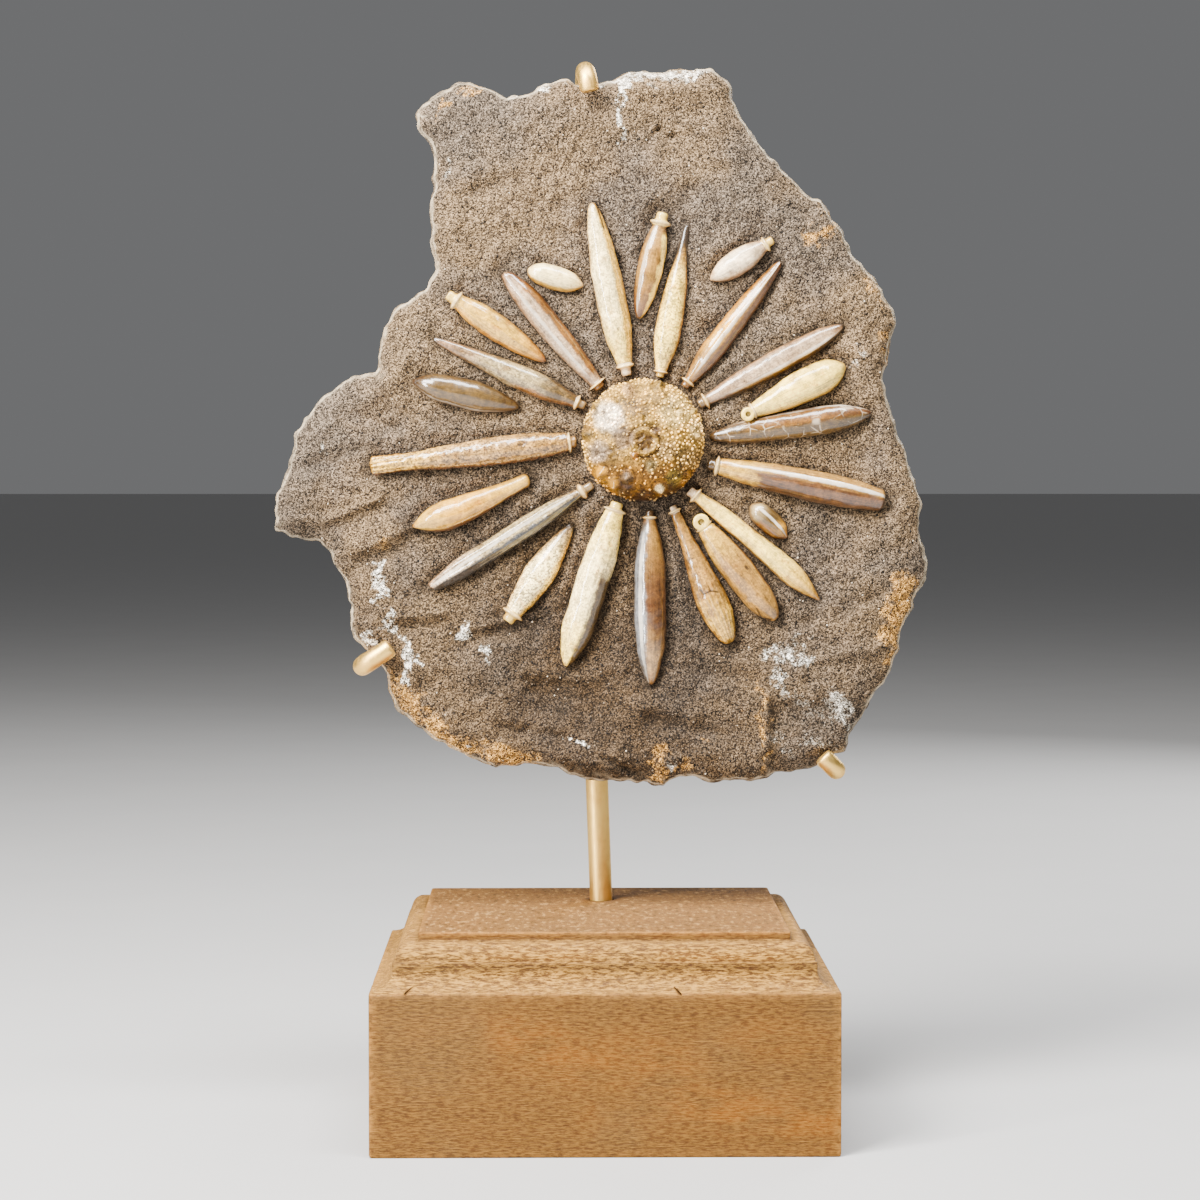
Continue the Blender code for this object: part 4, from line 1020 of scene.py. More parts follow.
def granule_tree():
    """Low round granules close together on a surface."""
    tree, ins = new_tree("granules", "GeometryNodeTree", {
        "Geometry": "Geometry", "Spacing": 0.0008, "Size": 0.0003, "Seed": SEED, "Material": "Material"})
    room = over(0.9, times(ins["Spacing"], ins["Spacing"]))
    spots = node(tree, "GeometryNodeDistributePointsOnFaces",
                 {"Mesh": ins["Geometry"], "Distance Min": ins["Spacing"], "Density Max": room,
                  "Density Factor": stored(tree, "bare"), "Seed": ins["Seed"]},
                 distribute_method="POISSON")
    granule = first(tree, "GeometryNodeMeshUVSphere", {"Radius": ins["Size"], "Segments": 8, "Rings": 5})
    granule = first(tree, "GeometryNodeStoreNamedAttribute",
                    {"Geometry": granule, "Name": "granule", "Value": 1.0}, data_type="FLOAT")
    placed = first(tree, "GeometryNodeInstanceOnPoints", {"Points": spots.outputs["Points"],
                   "Instance": granule, "Rotation": random_turn(tree, 4),
                   "Scale": spread(tree, 0.35, 1, 1)})
    both = node(tree, "GeometryNodeJoinGeometry").inputs[0]
    tree.links.new(ins["Geometry"], both)
    tree.links.new(placed, both)
    end_tree(tree, both.node.outputs[0], ins["Material"])


def spine_skin_tree():
    """Ribs along a spine, and grain in its skin."""
    tree, ins = new_tree("spine_skin", "GeometryNodeTree", {
        "Geometry": "Geometry", "Ribs": 20.0, "Rib Depth": 0.0001, "Ribs From": 0.6,
        "Roughness": 0.00003, "Grain": 0.0012, "Material": "Material"})
    place = first(tree, "GeometryNodeInputPosition")
    soft = first(tree, "ShaderNodeTexNoise", {"Vector": place, "Scale": over(1, ins["Grain"]),
                 "Detail": 3.0})
    soft = minus(soft, 0.5)
    turn = times(plus(stored(tree, "around"), times(soft, 0.05)), math.pi)
    share = ease(minus(stored(tree, "along"), ins["Ribs From"]), -0.04, 0.14)
    rib = times(maths("COSINE", times(turn, ins["Ribs"])), share, ins["Rib Depth"],
                minus(1, stored(tree, "head")))
    rise = plus(rib, times(soft, ins["Roughness"], 4.0))
    outwards = first(tree, "GeometryNodeInputNormal")
    push = first(tree, "ShaderNodeVectorMath", {0: outwards, "Scale": rise}, operation="SCALE")
    moved = first(tree, "GeometryNodeSetPosition", {"Geometry": ins["Geometry"], "Offset": push})
    end_tree(tree, moved, ins["Material"])


def shared():
    """Builds each shared effect and each Geometry Nodes tree once."""
    if "speckle" not in bpy.data.node_groups:
        for build in (speckle_group, pinhole_group, mottle_group, calcite_group,
                      rod_tree, grains_tree, granule_tree, spine_skin_tree):
            build()


# -------- the slab's shape

def deep_noise(places, size, layer=0):
    """Smooth noise, about -1 to 1, at places (n, 3), with lumps of that size."""
    rows = places / size + (0, 0, layer)
    return np.array([noise.noise(Vector(row)) for row in rows.tolist()])


def flat_noise(across, up, layer, size):
    """The same for places on the face; the layer picks another pattern."""
    return deep_noise(np.column_stack((across, up, np.full(len(across), float(layer)))), size)


def lumpy(across, up, layers, base=0):
    """Lumps added to a base, from rows of (size, height, layer)."""
    return sum((height * flat_noise(across, up, layer, size) for size, height, layer in layers), base)


def smooth_step(value, low, high):
    share = np.clip((value - low) / (high - low), 0, 1)
    return share * share * (3 - 2 * share)


def bell(distance, width):
    """A soft bump, 1 at its middle."""
    return np.exp(-(distance / width) ** 2)


def from_spot(across, up, spot):
    return np.hypot(across - spot[0], up - spot[1])


def to_segment(across, up, start, end):
    """Distance of each place from a line, and how far along that is."""
    run, rise = end[0] - start[0], end[1] - start[1]
    length = max(run * run + rise * rise, 1e-9)
    share = np.clip(((across - start[0]) * run + (up - start[1]) * rise) / length, 0, 1)
    return np.hypot(across - start[0] - share * run, up - start[1] - share * rise), share


def from_edge(across, up):
    """Distance to the outline, and the direction that leads inwards there."""
    nearest = np.full(len(across), 1e9)
    inwards = np.zeros((len(across), 2))
    for corner, following in zip(OUTLINE, OUTLINE[1:] + OUTLINE[:1]):
        distance, _ = to_segment(across, up, corner, following)
        run, rise = following[0] - corner[0], following[1] - corner[1]
        closer = distance < nearest - 1e-6
        nearest[closer] = distance[closer]
        inwards[closer] = np.array((rise, -run)) / math.hypot(run, rise)
    return nearest, inwards


def strokes(across, up, marks, ragged=0, join=np.maximum):
    """Soft strokes joined together at each place, their outlines shifted by noise."""
    total = np.zeros(len(across))
    if ragged:
        across = across + ragged * lumpy(across, up, [(2.6, 1, 51), (1.2, 0.7, 53)])
        up = up + ragged * lumpy(across, up, [(2.6, 1, 55), (1.2, 0.7, 57)])
    for start, end, half_width, strength in marks:
        distance, _ = to_segment(across, up, start, end)
        total = join(total, strength * bell(distance, half_width))
    return total


def relief(across, up, edge):
    """How far the face stands out of its mean plane, without its small roughness."""
    height = lumpy(across, up, FACE_LUMPS) + strokes(across, up, FOLDS, join=np.add)
    height -= FACE_FALL * np.maximum(0, 1 - edge / FACE_FALL_REACH) ** 2
    height -= DISH_DEPTH * (1 - smooth_step(np.hypot(across, up), DISH_RADIUS, DISH_RADIUS + DISH_RIM))
    in_corner = smooth_step(across - CORNER_LEFT, -CORNER_BLUR, CORNER_BLUR)
    in_corner = in_corner * smooth_step(CORNER_TOP - up, -CORNER_BLUR, CORNER_BLUR)
    height -= CORNER_STEP * in_corner
    chipped = (across > CHIPPED_FROM) & (across < CHIPPED_TO)
    height -= np.where(chipped, CHIPPED_SLOPE * np.maximum(0, up - CHIPPED_ABOVE), 0)
    return height


def face_depth(across, up):
    """Depth of the face, in millimetres along Y, at single places."""
    across, up = np.atleast_1d(float(across)), np.atleast_1d(float(up))
    edge, _ = from_edge(across, up)
    return float(FACE_Y - relief(across, up, edge)[0])


def in_part(place, depth):
    """A place on the face, in the part's frame at a depth."""
    return Vector((CENTRE_X + place[0], depth, CENTRE_Z + place[1]))


def back_depth(across, up, edge):
    """Depth of the slab's back, broken in ledges and falling off to the rim."""
    depth = lumpy(across, up, BACK_LUMPS, BACK_Y)
    ragged = 0.1 * flat_noise(across, up, 64, 4)
    for size, drop, layer, start, end in BACK_LEDGES:
        depth -= drop * smooth_step(flat_noise(across, up, layer, size) + ragged, start, end)
    return np.minimum(BACK_LIMIT_Y, depth - BACK_FALL * np.maximum(0, 1 - edge / BACK_FALL_REACH) ** 2)


def beside_fossils(across, up):
    """How far each place lies outside the nearest spine or the test."""
    nearest = np.hypot(across, up) - TEST_RADIUS
    for spine in SPINES:
        distance, share = to_segment(across, up, spine["inner"], spine["tip"])
        half = np.interp(share, np.linspace(0, 1, len(spine["widths"])), spine["widths"]) / 2
        nearest = np.minimum(nearest, distance - half)
    return nearest


def fine_relief(across, up):
    """The face's small roughness, and the distance from the fossils."""
    height = lumpy(across, up, FINE_LUMPS, CREASE_GAIN * strokes(across, up, CREASES, join=np.add))
    outside = beside_fossils(across, up)
    height -= MOAT_DEPTH * bell(np.maximum(outside, 0), MOAT_WIDTH)
    height += BANK_HEIGHT * bell(outside - BANK_AT, BANK_WIDTH)
    for spot in PIN_HOLES:
        height -= PIN_HOLE_DEPTH * bell(from_spot(across, up, spot), PIN_HOLE_RADIUS)
    return height, outside


def rough_outline():
    """The outline in short steps, chipped inwards except at the claws."""
    made = []
    for corner, following in zip(OUTLINE, OUTLINE[1:] + OUTLINE[:1]):
        length = math.dist(corner, following)
        steps = max(1, round(length / OUTLINE_STEP))
        inwards = ((following[1] - corner[1]) / length, (corner[0] - following[0]) / length)
        for k in range(steps):
            across = corner[0] + (following[0] - corner[0]) * k / steps
            up = corner[1] + (following[1] - corner[1]) * k / steps
            chip = 0.1 + noise.noise(Vector((across, up, 3)) / 2.1)
            chip += 0.8 * noise.noise(Vector((across, up, 8)) / 5)
            near_claw = min(math.dist((across, up), claw) for claw in CLAW_CORNERS)
            chip = SCALLOP * max(-0.6, chip) * float(smooth_step(near_claw, 3.5, 8.0))
            made.append((across + inwards[0] * chip, up + inwards[1] * chip))
    return made


def slab_block(facet):
    """The outline as a flat-sided block, all over in even small faces."""
    ring = rough_outline()
    count = len(ring)
    places = [(across, depth, up) for depth in (FACE_Y, BACK_Y) for across, up in ring]
    sides = [(i, (i + 1) % count, count + (i + 1) % count, count + i) for i in range(count)]
    faces = [tuple(range(count)), tuple(range(count, 2 * count)), *sides]
    block = in_scene("rock_slab", solid("rock_slab", places, faces))
    even = block.modifiers.new("even faces", "REMESH")
    even.mode = "VOXEL"
    even.voxel_size = facet
    return settled(block, None)


def shape_block(mesh):
    """Moves the points onto the rough face, rim and back."""
    across, depth, up = points_of(mesh).T
    edge, inwards = from_edge(across, up)
    share = np.clip((depth - FACE_Y) / (BACK_Y - FACE_Y), 0, 1)
    at_rim = (RIM_Y - FACE_Y) / (BACK_Y - FACE_Y)
    to_face = np.clip(1 - share / at_rim, 0, 1)
    to_back = np.clip((share - at_rim) / (1 - at_rim), 0, 1)
    fine, _ = fine_relief(across, up)
    face = FACE_Y - relief(across, up, edge) - fine
    back = back_depth(across, up, edge)
    new_depth = face + (back - face) * share
    inset = FACE_INSET * to_face ** 2 + BACK_INSET * to_back ** 1.5
    places = np.column_stack((across, new_depth, up))
    layered = deep_noise(places * (1, 6, 1), 9, 4) + 0.5 * deep_noise(places, 1.6, 9)
    broken = deep_noise(places, 3.4, 2)
    near_rim = np.maximum(0, 1 - edge / INSET_REACH)
    on_side = smooth_step(share, 0.02, 0.2) * (1 - smooth_step(share, 0.85, 1))
    claw_away = np.min([from_spot(across, up, claw) for claw in CLAW_CORNERS], axis=0)
    chips = np.clip(0.05 + 0.6 * layered + 0.7 * broken, -0.5, 2.0) * on_side * smooth_step(claw_away, 3, 8)
    shift = (inset + 0.8 * chips) * near_rim
    low, high = (np.array(corner) / MM for corner in CAD_BOX)
    places[:, 0] = np.clip(CENTRE_X + across + inwards[:, 0] * shift, low[0] + 0.05, high[0] - 0.05)
    places[:, 2] = CENTRE_Z + up + inwards[:, 1] * shift
    move_points(mesh, places)


def thin_back(slab, most):
    """Takes faces out of the back, down to about most triangles."""
    mesh = slab.data
    mesh.calc_loop_triangles()
    group = slab.vertex_groups.new(name="back")
    group.add(np.flatnonzero(points_of(mesh)[:, 1] > BACK_Y - 5).tolist(), 1, "REPLACE")
    thin = slab.modifiers.new("thin back", "DECIMATE")
    thin.ratio = min(1, most / len(mesh.loop_triangles))
    thin.vertex_group = "back"
    thin.use_collapse_triangulate = True
    settled(slab, None)
    slab.vertex_groups.clear()


def paint_slab(mesh):
    """Stores where the stains, the painted shade, the painted rim highlight and the sand are."""
    x, depth, z = points_of(mesh).T
    across, up = x - CENTRE_X, z - CENTRE_Z
    edge, _ = from_edge(across, up)
    in_front = 1 - smooth_step(depth, -2.5, 3.0)
    fine, outside = fine_relief(across, up)
    iron = strokes(across, up, IRON, 2.6) * (1 - smooth_step(depth, 3.0, 9.0))
    contact = bell(np.maximum(outside, 0), 0.7)
    dug = np.clip(-fine - 0.15, 0, 1)
    troughs = np.clip(-strokes(across, up, FOLDS, join=np.add) / 2.0, 0, 1)
    # turned and rim: where the edge turns away from the face, for the painted rim highlight
    turned = 1 - smooth_step(-normals_of(mesh)[:, 1], 0.30, 0.75)
    paint(mesh, chalk=strokes(across, up, CHALK, 2.2) * in_front,
          iron=np.maximum(iron, BACK_IRON * smooth_step(depth, 1, 6.0)),
          shade=np.clip(0.5 * contact + 0.5 * dug + 0.45 * troughs, 0, 1) * in_front,
          rim=turned * (1 - smooth_step(depth, -2.0, 2.5)) * (1 - smooth_step(edge, 1.5, 3.5)),
          sandy=in_front * smooth_step(outside, 0.3, 1.2) * smooth_step(edge, 0.8, 2.0))


def build_slab(settings):
    slab = slab_block(settings.facet)
    shape_block(slab.data)
    thin_back(slab, settings.faces)
    paint_slab(slab.data)
    grains = in_scene("loose_grains", slab.data.copy())
    run_tree(grains, "grains", {"Density": settings.grains, "Size": settings.grain_size,
                                "Seed": SEED, "Material": loose_sand()})
    slab.data.materials.append(sandstone(settings))
    hand_over(slab, "rock", "rock_matrix")
    hand_over(settled(grains, bpy.data.materials["loose_sand"]), "rock")


# -------- the test

TEST_RINGS, TEST_SIDES = 96, 230
TEST_SKIRT = 0.32  # share of the lower half that is made, inside the rock
WORN = [((0, -0.5), 3.8), ((-8, -2), 5.5), ((-4, -12.5), 6.5), ((7, -12), 4.0)]  # centre, radius
TEST_LUMPS = [(4.0, 0.22, 3), (1.8, 0.16, 9), (0.9, 0.10, 21)]  # size, height, layer
TEST_PATCHES = [(2.6, 0.55, 41), (1.1, 0.45, 47)]
TINT_GAIN = 0.42
AMBER_GLOSS, AMBER_HEIGHT = 0.8, 0.7  # the lumps glossier than this stand proud
# The darkest tints along the lower rim are partly brown stain, partly painted shade
TINTS = [  # centre, radius, colour, strength, gloss
    ((-8.6, 5.6), 4.6, (1.7, 1.35, 0.92), 0.95, 0), ((-11.3, -3.0), 3.4, (0.66, 0.48, 0.33), 0.8, 0),
    ((-5.0, 0.5), 4.0, (0.26, 0.165, 0.105), 0.75, 0), ((2.8, 2.0), 1.7, (0.20, 0.12, 0.08), 0.8, 0.5),
    ((0, -0.5), 2.8, (0.40, 0.21, 0.035), 0.8, 0.3), ((-2.4, -4.0), 1.3, (0.55, 0.20, 0.006), 0.95, 0.9),
    ((1.6, -6.4), 2.2, (0.95, 0.66, 0.22), 0.8, 0), ((-10.6, -8.4), 2.7, (0.95, 0.42, 0.001), 0.98, 1),
    ((-7.6, -10.9), 2.1, (0.70, 0.31, 0.001), 0.95, 0.95), ((7.4, -9.4), 3.0, (0.34, 0.23, 0.02), 0.8, 0.2),
    ((-4.6, -12.6), 3.0, (0.10, 0.038, 0.010), 0.85, 0.3), ((0, -15.2), 4.2, (0.08, 0.030, 0.008), 0.9, 0.4),
    ((7.4, -13.0), 3.2, (0.09, 0.036, 0.010), 0.85, 0.4), ((-4.2, -9.3), 2.0, (0.34, 0.22, 0.12), 0.8, 0.1),
    ((4.2, -12.3), 1.5, (1.5, 1.1, 0.5), 0.9, 0), ((-3.7, 12.3), 2.2, (1.1, 0.62, 0.24), 0.75, 0),
    ((8, 7), 5.5, (1.1, 0.74, 0.22), 0.75, 0), ((-2.0, 8.5), 4.2, (0.38, 0.20, 0.04), 0.7, 0),
    ((11.5, -4.5), 3.4, (0.55, 0.34, 0.11), 0.65, 0.1), ((13.2, 2.6), 3.0, (1, 0.70, 0.28), 0.6, 0),
    ((5.5, -2.5), 3.2, (0.80, 0.50, 0.17), 0.7, 0), ((-14.5, 3.5), 2.4, (0.32, 0.16, 0.045), 0.6, 0),
]


def test_relief(across, up):
    """Height of the test's own forms over the plain dome, and the mask of bare shell."""
    rise = lumpy(across, up, TEST_LUMPS)
    bare = np.ones(len(across))
    off_crown = from_spot(across, up, CROWN_AT)
    plates = np.clip(0.6 + 1.7 * flat_noise(across, up, 26, 1.9), 0, 1.7)
    rise += CROWN_HEIGHT * plates * bell(off_crown - CROWN_RADIUS, CROWN_WIDTH)
    rise -= 0.45 * bell(off_crown - CROWN_RADIUS - 0.9, 0.35)
    rise += (0.5 * flat_noise(across, up, 28, 0.9) - 0.5) * (1 - smooth_step(off_crown, 1.8, CROWN_RADIUS))
    angle = np.arctan2(across, up)
    far = np.hypot(across, up)
    between = 1 - smooth_step(far, 13.5, 15.4) * 0.3
    for bearing, deep in LANES:
        bearing = math.radians(bearing)
        off_line = far * np.sin(angle - bearing)
        ahead = far * np.cos(angle - bearing) > LANE_FROM
        groove = bell(off_line, GROOVE_WIDTH) * ahead
        lane = (np.abs(np.abs(off_line) - PORES_AT) < PORE_HALF_WIDTH) & ahead
        pores = lane * (0.5 + 0.5 * np.cos(far * math.tau / PORE_SPACING))
        rise -= (GROOVE_DEPTH * groove + PORE_DEPTH * pores) * between * deep
    for *spot, size in TUBERCLES:
        away = from_spot(across, up, spot) / size
        rise += size * BOSS_HEIGHT * (1 - smooth_step(away, 0.5, BOSS_RADIUS))
        rise -= size * RING_DEPTH * bell(away - RING_RADIUS, RING_WIDTH)
        rise += size * NIPPLE_HEIGHT * np.sqrt(np.clip(1 - (away / NIPPLE_RADIUS) ** 2, 0, 1))
        bare = np.minimum(bare, smooth_step(away, 1.3, 2.0))
    for spot, radius, _, _, wet in TINTS:
        if wet > AMBER_GLOSS:
            away = from_spot(across, up, spot)
            rise += AMBER_HEIGHT * bell(away, radius * 0.55)
            bare = np.minimum(bare, smooth_step(away, radius * 0.5, radius * 0.9))
    for spot, radius in WORN:
        bare = bare * (1 - 0.75 * np.exp(-(from_spot(across, up, spot) / radius) ** 4))
    return rise, bare


def test_tint(across, up, upper, lower):
    """Colour (n, 3) and gloss of the test at each place."""
    # Darker brown towards the lower rim: partly stain, partly painted shade on the dome's underside
    low = smooth_step(-(up + 1.5 * flat_noise(across, up, 31, 4.0)), 2.0, 9.0)
    colours = np.array(upper) + (np.array(lower) - np.array(upper)) * low[:, None]
    patches = lumpy(across, up, TEST_PATCHES)
    gloss = 0.15 * low
    for spot, radius, tint, strength, wet in TINTS:
        away = from_spot(across, up, spot) + 0.8 * flat_noise(across, up, 17, 1.6)
        share = strength * (1 - smooth_step(away, radius * 0.45, radius))
        colours += (np.array(tint) - colours) * share[:, None]
        gloss += (wet - gloss) * share
    colours = colours * np.clip(1 + 1.3 * patches, 0.3, 1.7)[:, None]
    return np.clip(colours * TINT_GAIN, 0.004, 0.9), np.clip(gloss, 0, 1)


def build_test(settings):
    slopes = np.linspace(0, math.pi / 2 * (1 + TEST_SKIRT), TEST_RINGS + 1)[1:]
    turns = np.linspace(0, math.tau, TEST_SIDES, endpoint=False)
    slope, turn = (grid.ravel() for grid in np.meshgrid(slopes, turns, indexing="ij"))
    unit = np.column_stack((np.sin(slope) * np.sin(turn), -np.cos(slope), np.sin(slope) * np.cos(turn)))
    wobble = 1 + 0.012 * flat_noise(unit[:, 0] * 10, unit[:, 2] * 10, 5, 5) - 0.012
    dome = unit * np.array((TEST_RADIUS, TEST_HALF_HEIGHT, TEST_RADIUS)) * wobble[:, None]
    outwards = unit / np.array((TEST_RADIUS, TEST_HALF_HEIGHT, TEST_RADIUS))
    outwards /= np.linalg.norm(outwards, axis=1)[:, None]
    across, up = dome[:, 0], dome[:, 2]
    rise, bare = test_relief(across, up)
    in_front = 1 - smooth_step(slope, 1.45, 1.75)
    dome += outwards * (rise * in_front)[:, None]
    poles = [(0, dome[0, 1], 0), (0, dome[-1, 1], 0)]
    places = np.vstack((dome, poles)) + (CENTRE_X, FACE_Y + DISH_DEPTH - TEST_STAND, CENTRE_Z)
    mesh = solid("urchin_shell", places, tube(TEST_RINGS, TEST_SIDES))
    colours, gloss = test_tint(across, up, tuple(settings.upper), tuple(settings.lower))
    # hollow: where the surface lies low, for painted shade
    paint(mesh, tint=np.pad(colours, ((0, 2), (0, 0)), mode="edge"), gloss=np.pad(gloss, (0, 2)),
          hollow=np.pad(np.clip((0.05 - rise) * 1.5, 0, 1), (0, 2)),
          bare=np.pad(bare * in_front * (1 - 0.7 * gloss), (0, 2)))
    material = shell()
    piece = in_scene("urchin_shell", mesh)
    run_tree(piece, "granules", {"Spacing": settings.granule_spacing, "Size": settings.granule_size,
                                 "Seed": SEED, "Material": material})
    hand_over(settled(piece, material), "test", "urchin_test")


# -------- the spines

HEAD_PROFILE = [  # share of the way to the flange, share of the flange's radius
    (0.20, 0), (0.06, 0.20), (0, 0.36), (0.06, 0.49), (0.25, 0.56), (0.48, 0.55),
    (0.66, 0.62), (0.76, 0.86), (0.82, 1), (0.92, 1), (0.99, 0.93), (1.05, 0.80),
]
END_RINGS = 12
CUP_SIDES = 48
CRACK_DEPTH = 0.3
CUPS = [(7, (26.1, 6.4), 1.75), (12, (14.5, -20.5), 2.1)]  # spine, middle, radius
CUP_PROFILE = [  # share of the radius, height over the rock's face
    (0.36, 0.9), (0.38, 2.6), (0.5, 2.85), (0.78, 2.85), (0.95, 2.6), (1, 2.2), (0.96, 0.4),
]


def smooth_line(points, steps):
    """A smooth line through the points, steps places for each stretch between two of them."""
    rows = np.array(points, float)
    rows = np.vstack((2 * rows[0] - rows[1], rows, 2 * rows[-1] - rows[-2]))
    made = []
    for before, start, end, after in zip(rows, rows[1:], rows[2:], rows[3:]):
        for share in np.arange(steps) / steps:
            square, cube = share ** 2, share ** 3
            made.append(0.5 * (2 * start + (end - before) * share
                               + (2 * before - 5 * start + 4 * end - after) * square
                               + (3 * start - before - 3 * end + after) * cube))
    made.append(rows[-2])
    return np.array(made)


def spine_stations(spine, length, step):
    """Rows of (along, half width, head) from the spine's inner pole to its tip."""
    line = smooth_line([(i, width / 2) for i, width in enumerate(spine["widths"])], 12)
    rows = []
    body_from, blunt = 0, spine["widths"][1] * 0.3
    if "collar" in spine:
        reach, radius = math.dist(spine["collar"], spine["inner"]), spine["flange"] / 2
        for along, half in smooth_line([(a * reach, b * radius) for a, b in HEAD_PROFILE], 3):
            rows.append((along, half, 1.0 if along > 0.7 * reach else 0.5))
        body_from, blunt = rows[-1][0] + 0.35, 0
    end, run = spine["end"], length - body_from
    turns = np.linspace(0, math.pi / 2, END_RINGS)
    body = []  # along, share of the body's width
    if blunt:
        body += [(blunt * (1 - math.cos(turn)), math.sin(turn) ** 0.8) for turn in turns[:-1]]
    body += [(along, 1) for along in np.linspace(blunt, run - end, max(8, int((run - blunt - end) / step)))]
    body += [(run - end + end * math.sin(turn), max(0, math.cos(turn)) ** 0.7) for turn in turns[1:]]
    for along, thin in body:
        half = np.interp(along / run * (len(spine["widths"]) - 1), line[:, 0], line[:, 1]) * thin
        rows.append((body_from + along, half, 0))
    return np.array(rows)


def spine_axis(spine):
    """The two ends of a spine's axis, in the part's frame."""
    return [np.array(in_part(place, face_depth(*place) - stand))
            for place, stand in zip((spine["inner"], spine["tip"]), spine["stand"])]


def spine_mesh(name, number, spine, settings):
    """The spine's skin, before its ribs and grain."""
    start, end = spine_axis(spine)
    length = float(np.linalg.norm(end - start))
    ahead = (end - start) / length
    out = np.array((0, -1, 0)) - ahead * -ahead[1]
    out /= np.linalg.norm(out)
    aside = np.cross(out, ahead)
    stations = spine_stations(spine, length, settings.step / MM)
    inner = stations[1:-1]
    sides = settings.sides
    turns = np.linspace(-1, 1, sides, endpoint=False)
    along, around = (grid.ravel() for grid in np.meshgrid(inner[:, 0], turns, indexing="ij"))
    half = np.repeat(inner[:, 1], sides)
    head = np.repeat(inner[:, 2], sides)
    share = along / length
    probe = np.column_stack((along, np.cos(around * math.pi) * half, np.sin(around * math.pi) * half))
    uneven = 0.05 * deep_noise(probe, 6, number * 3.7) + 0.03 * deep_noise(probe, 2.2, number * 1.9)
    half = half * (1 + uneven * (1 - 0.5 * head))
    for angle, height, width in spine.get("ridges", ()):
        grown = smooth_step(share, 0.1, 0.3) * (1 - smooth_step(share, 0.93, 1)) * (1 - head)
        drift = angle + 0.03 * np.sin(share * 7 + number)
        half = half + height * bell(around - drift, width) * grown
    half = half * (1 + 0.025 * np.cos(around * math.pi * 26) * (head > 0.9))
    lateral = np.sin(around * math.pi) * half + spine.get("bow", 0) * 4 * share * (1 - share)
    outward = np.cos(around * math.pi) * half
    along = along + spine.get("skew", 0) * lateral * smooth_step(share, 0.75, 1)
    along = np.minimum(along, length)
    places = start + np.outer(along, ahead) + np.outer(lateral, aside) + np.outer(outward, out)
    across, up = places[:, 0] - CENTRE_X, places[:, 2] - CENTRE_Z
    crack = strokes(across, up, spine.get("cracks", ())) * (outward > 0)
    places -= np.outer(CRACK_DEPTH * crack, out)
    poles = np.array((start + ahead * stations[0, 0], start + ahead * stations[-1, 0]))
    mesh = solid(name, np.vstack((places, poles)), tube(len(inner), sides))
    paint(mesh, along=np.append(share, (0, 1)), head=np.append(head, (stations[0, 2], 0)),
          around=np.pad(around, (0, 2)), crack=np.pad(crack, (0, 2)))
    ground = FACE_Y - relief(across, up, from_edge(across, up)[0])
    paint(mesh, proud=np.append(np.maximum(ground - places[:, 1], 0), (1, 1)))
    return mesh


def cup_mesh(middle, radius):
    """A spine's hollow button seen end on, facing out of the rock."""
    turns = np.linspace(0, math.tau, CUP_SIDES, endpoint=False)
    rows = smooth_line(CUP_PROFILE, 3)
    rings = [np.column_stack((radius * share * np.cos(turns), np.full(CUP_SIDES, -height),
                              radius * share * np.sin(turns))) for share, height in rows]
    poles = [(0, -rows[0][1], 0), (0, -rows[-1][1], 0)]
    places = np.vstack((*rings, *poles)) + in_part(middle, face_depth(*middle))
    mesh = solid("button_cup", places, tube(len(rows), CUP_SIDES))
    none = np.zeros(len(places))
    # The hole's rings get proud 0, so the dark foot tone paints shade inside the hole
    hidden = np.arange(len(places)) < 4 * CUP_SIDES
    paint(mesh, along=none, around=none, head=none + 0.6, crack=none, proud=np.where(hidden, 0, 3.0))
    return mesh


def build_spine(number, spine, settings):
    material = calcite(number, spine, settings)
    mesh = spine_mesh(f"fossil_spine_{number:02d}", number, spine, settings)
    piece = in_scene(mesh.name, mesh)
    ribs, depth, start = spine.get("ribs", (20, 0, 0.5))
    run_tree(piece, "spine_skin", {
        "Ribs": float(ribs), "Rib Depth": depth * MM, "Ribs From": start,
        "Roughness": spine.get("rough", 0.03) * MM, "Grain": 0.0013, "Material": material})
    hand_over(settled(piece, material), f"spine_{spine['slot']}", f"spine_{number:02d}")
    for owner, middle, radius in CUPS:
        if owner == number:
            mesh = cup_mesh(middle, radius)
            mesh.materials.append(material)
            mesh.shade_smooth()
            hand_over(in_scene(f"button_{number:02d}", mesh), f"spine_{spine['slot']}")


# -------- the brass stand

def base_height(base):
    """Height of the base's top, in metres."""
    return base.block_height + base.cove_height + (RISER_HEIGHT + OVOLO_HEIGHT + FILLET_HEIGHT) * MM


def post_point(z, brass, base, off=0):
    """The post's centre at a height in millimetres, or a point off to its right."""
    top = base_height(base) / MM
    return Vector((-brass.lean * (z - top) + off, POST_Y, z))


def rounded_route(corners, radii, steps=BEND_STEPS):
    """Points along the corners, each inner corner rounded by its radius."""
    route = [corners[0]]
    for before, corner, after, radius in zip(corners, corners[1:], corners[2:], radii):
        back, ahead = (before - corner).normalized(), (after - corner).normalized()
        half_angle = back.angle(ahead) / 2
        reach = radius / math.tan(half_angle)
        centre = corner + (back + ahead).normalized() * radius / math.sin(half_angle)
        start = (corner + back * reach - centre).normalized()
        end = (corner + ahead * reach - centre).normalized()
        route += [centre + start.slerp(end, i / steps) * radius for i in range(steps + 1)]
    return route + [corners[-1]]


def filled(route, step):
    """The route with extra points, so that no stretch is longer than step."""
    made = [route[0]]
    for start, end in zip(route, route[1:]):
        pieces = max(1, math.ceil((end - start).length / step))
        made += [start.lerp(end, (i + 1) / pieces) for i in range(pieces)]
    return np.array(made)


def claw_depth(start, end, radius):
    """Depth of a claw's front leg that keeps it just clear of the face under it."""
    highest = 0
    for i in range(7):
        across, up = Vector(start).lerp(Vector(end), i / 6)
        for side in (-radius, 0, radius):
            highest = min(highest, face_depth(across + side, up), face_depth(across, up + side))
    return highest - radius - GAP


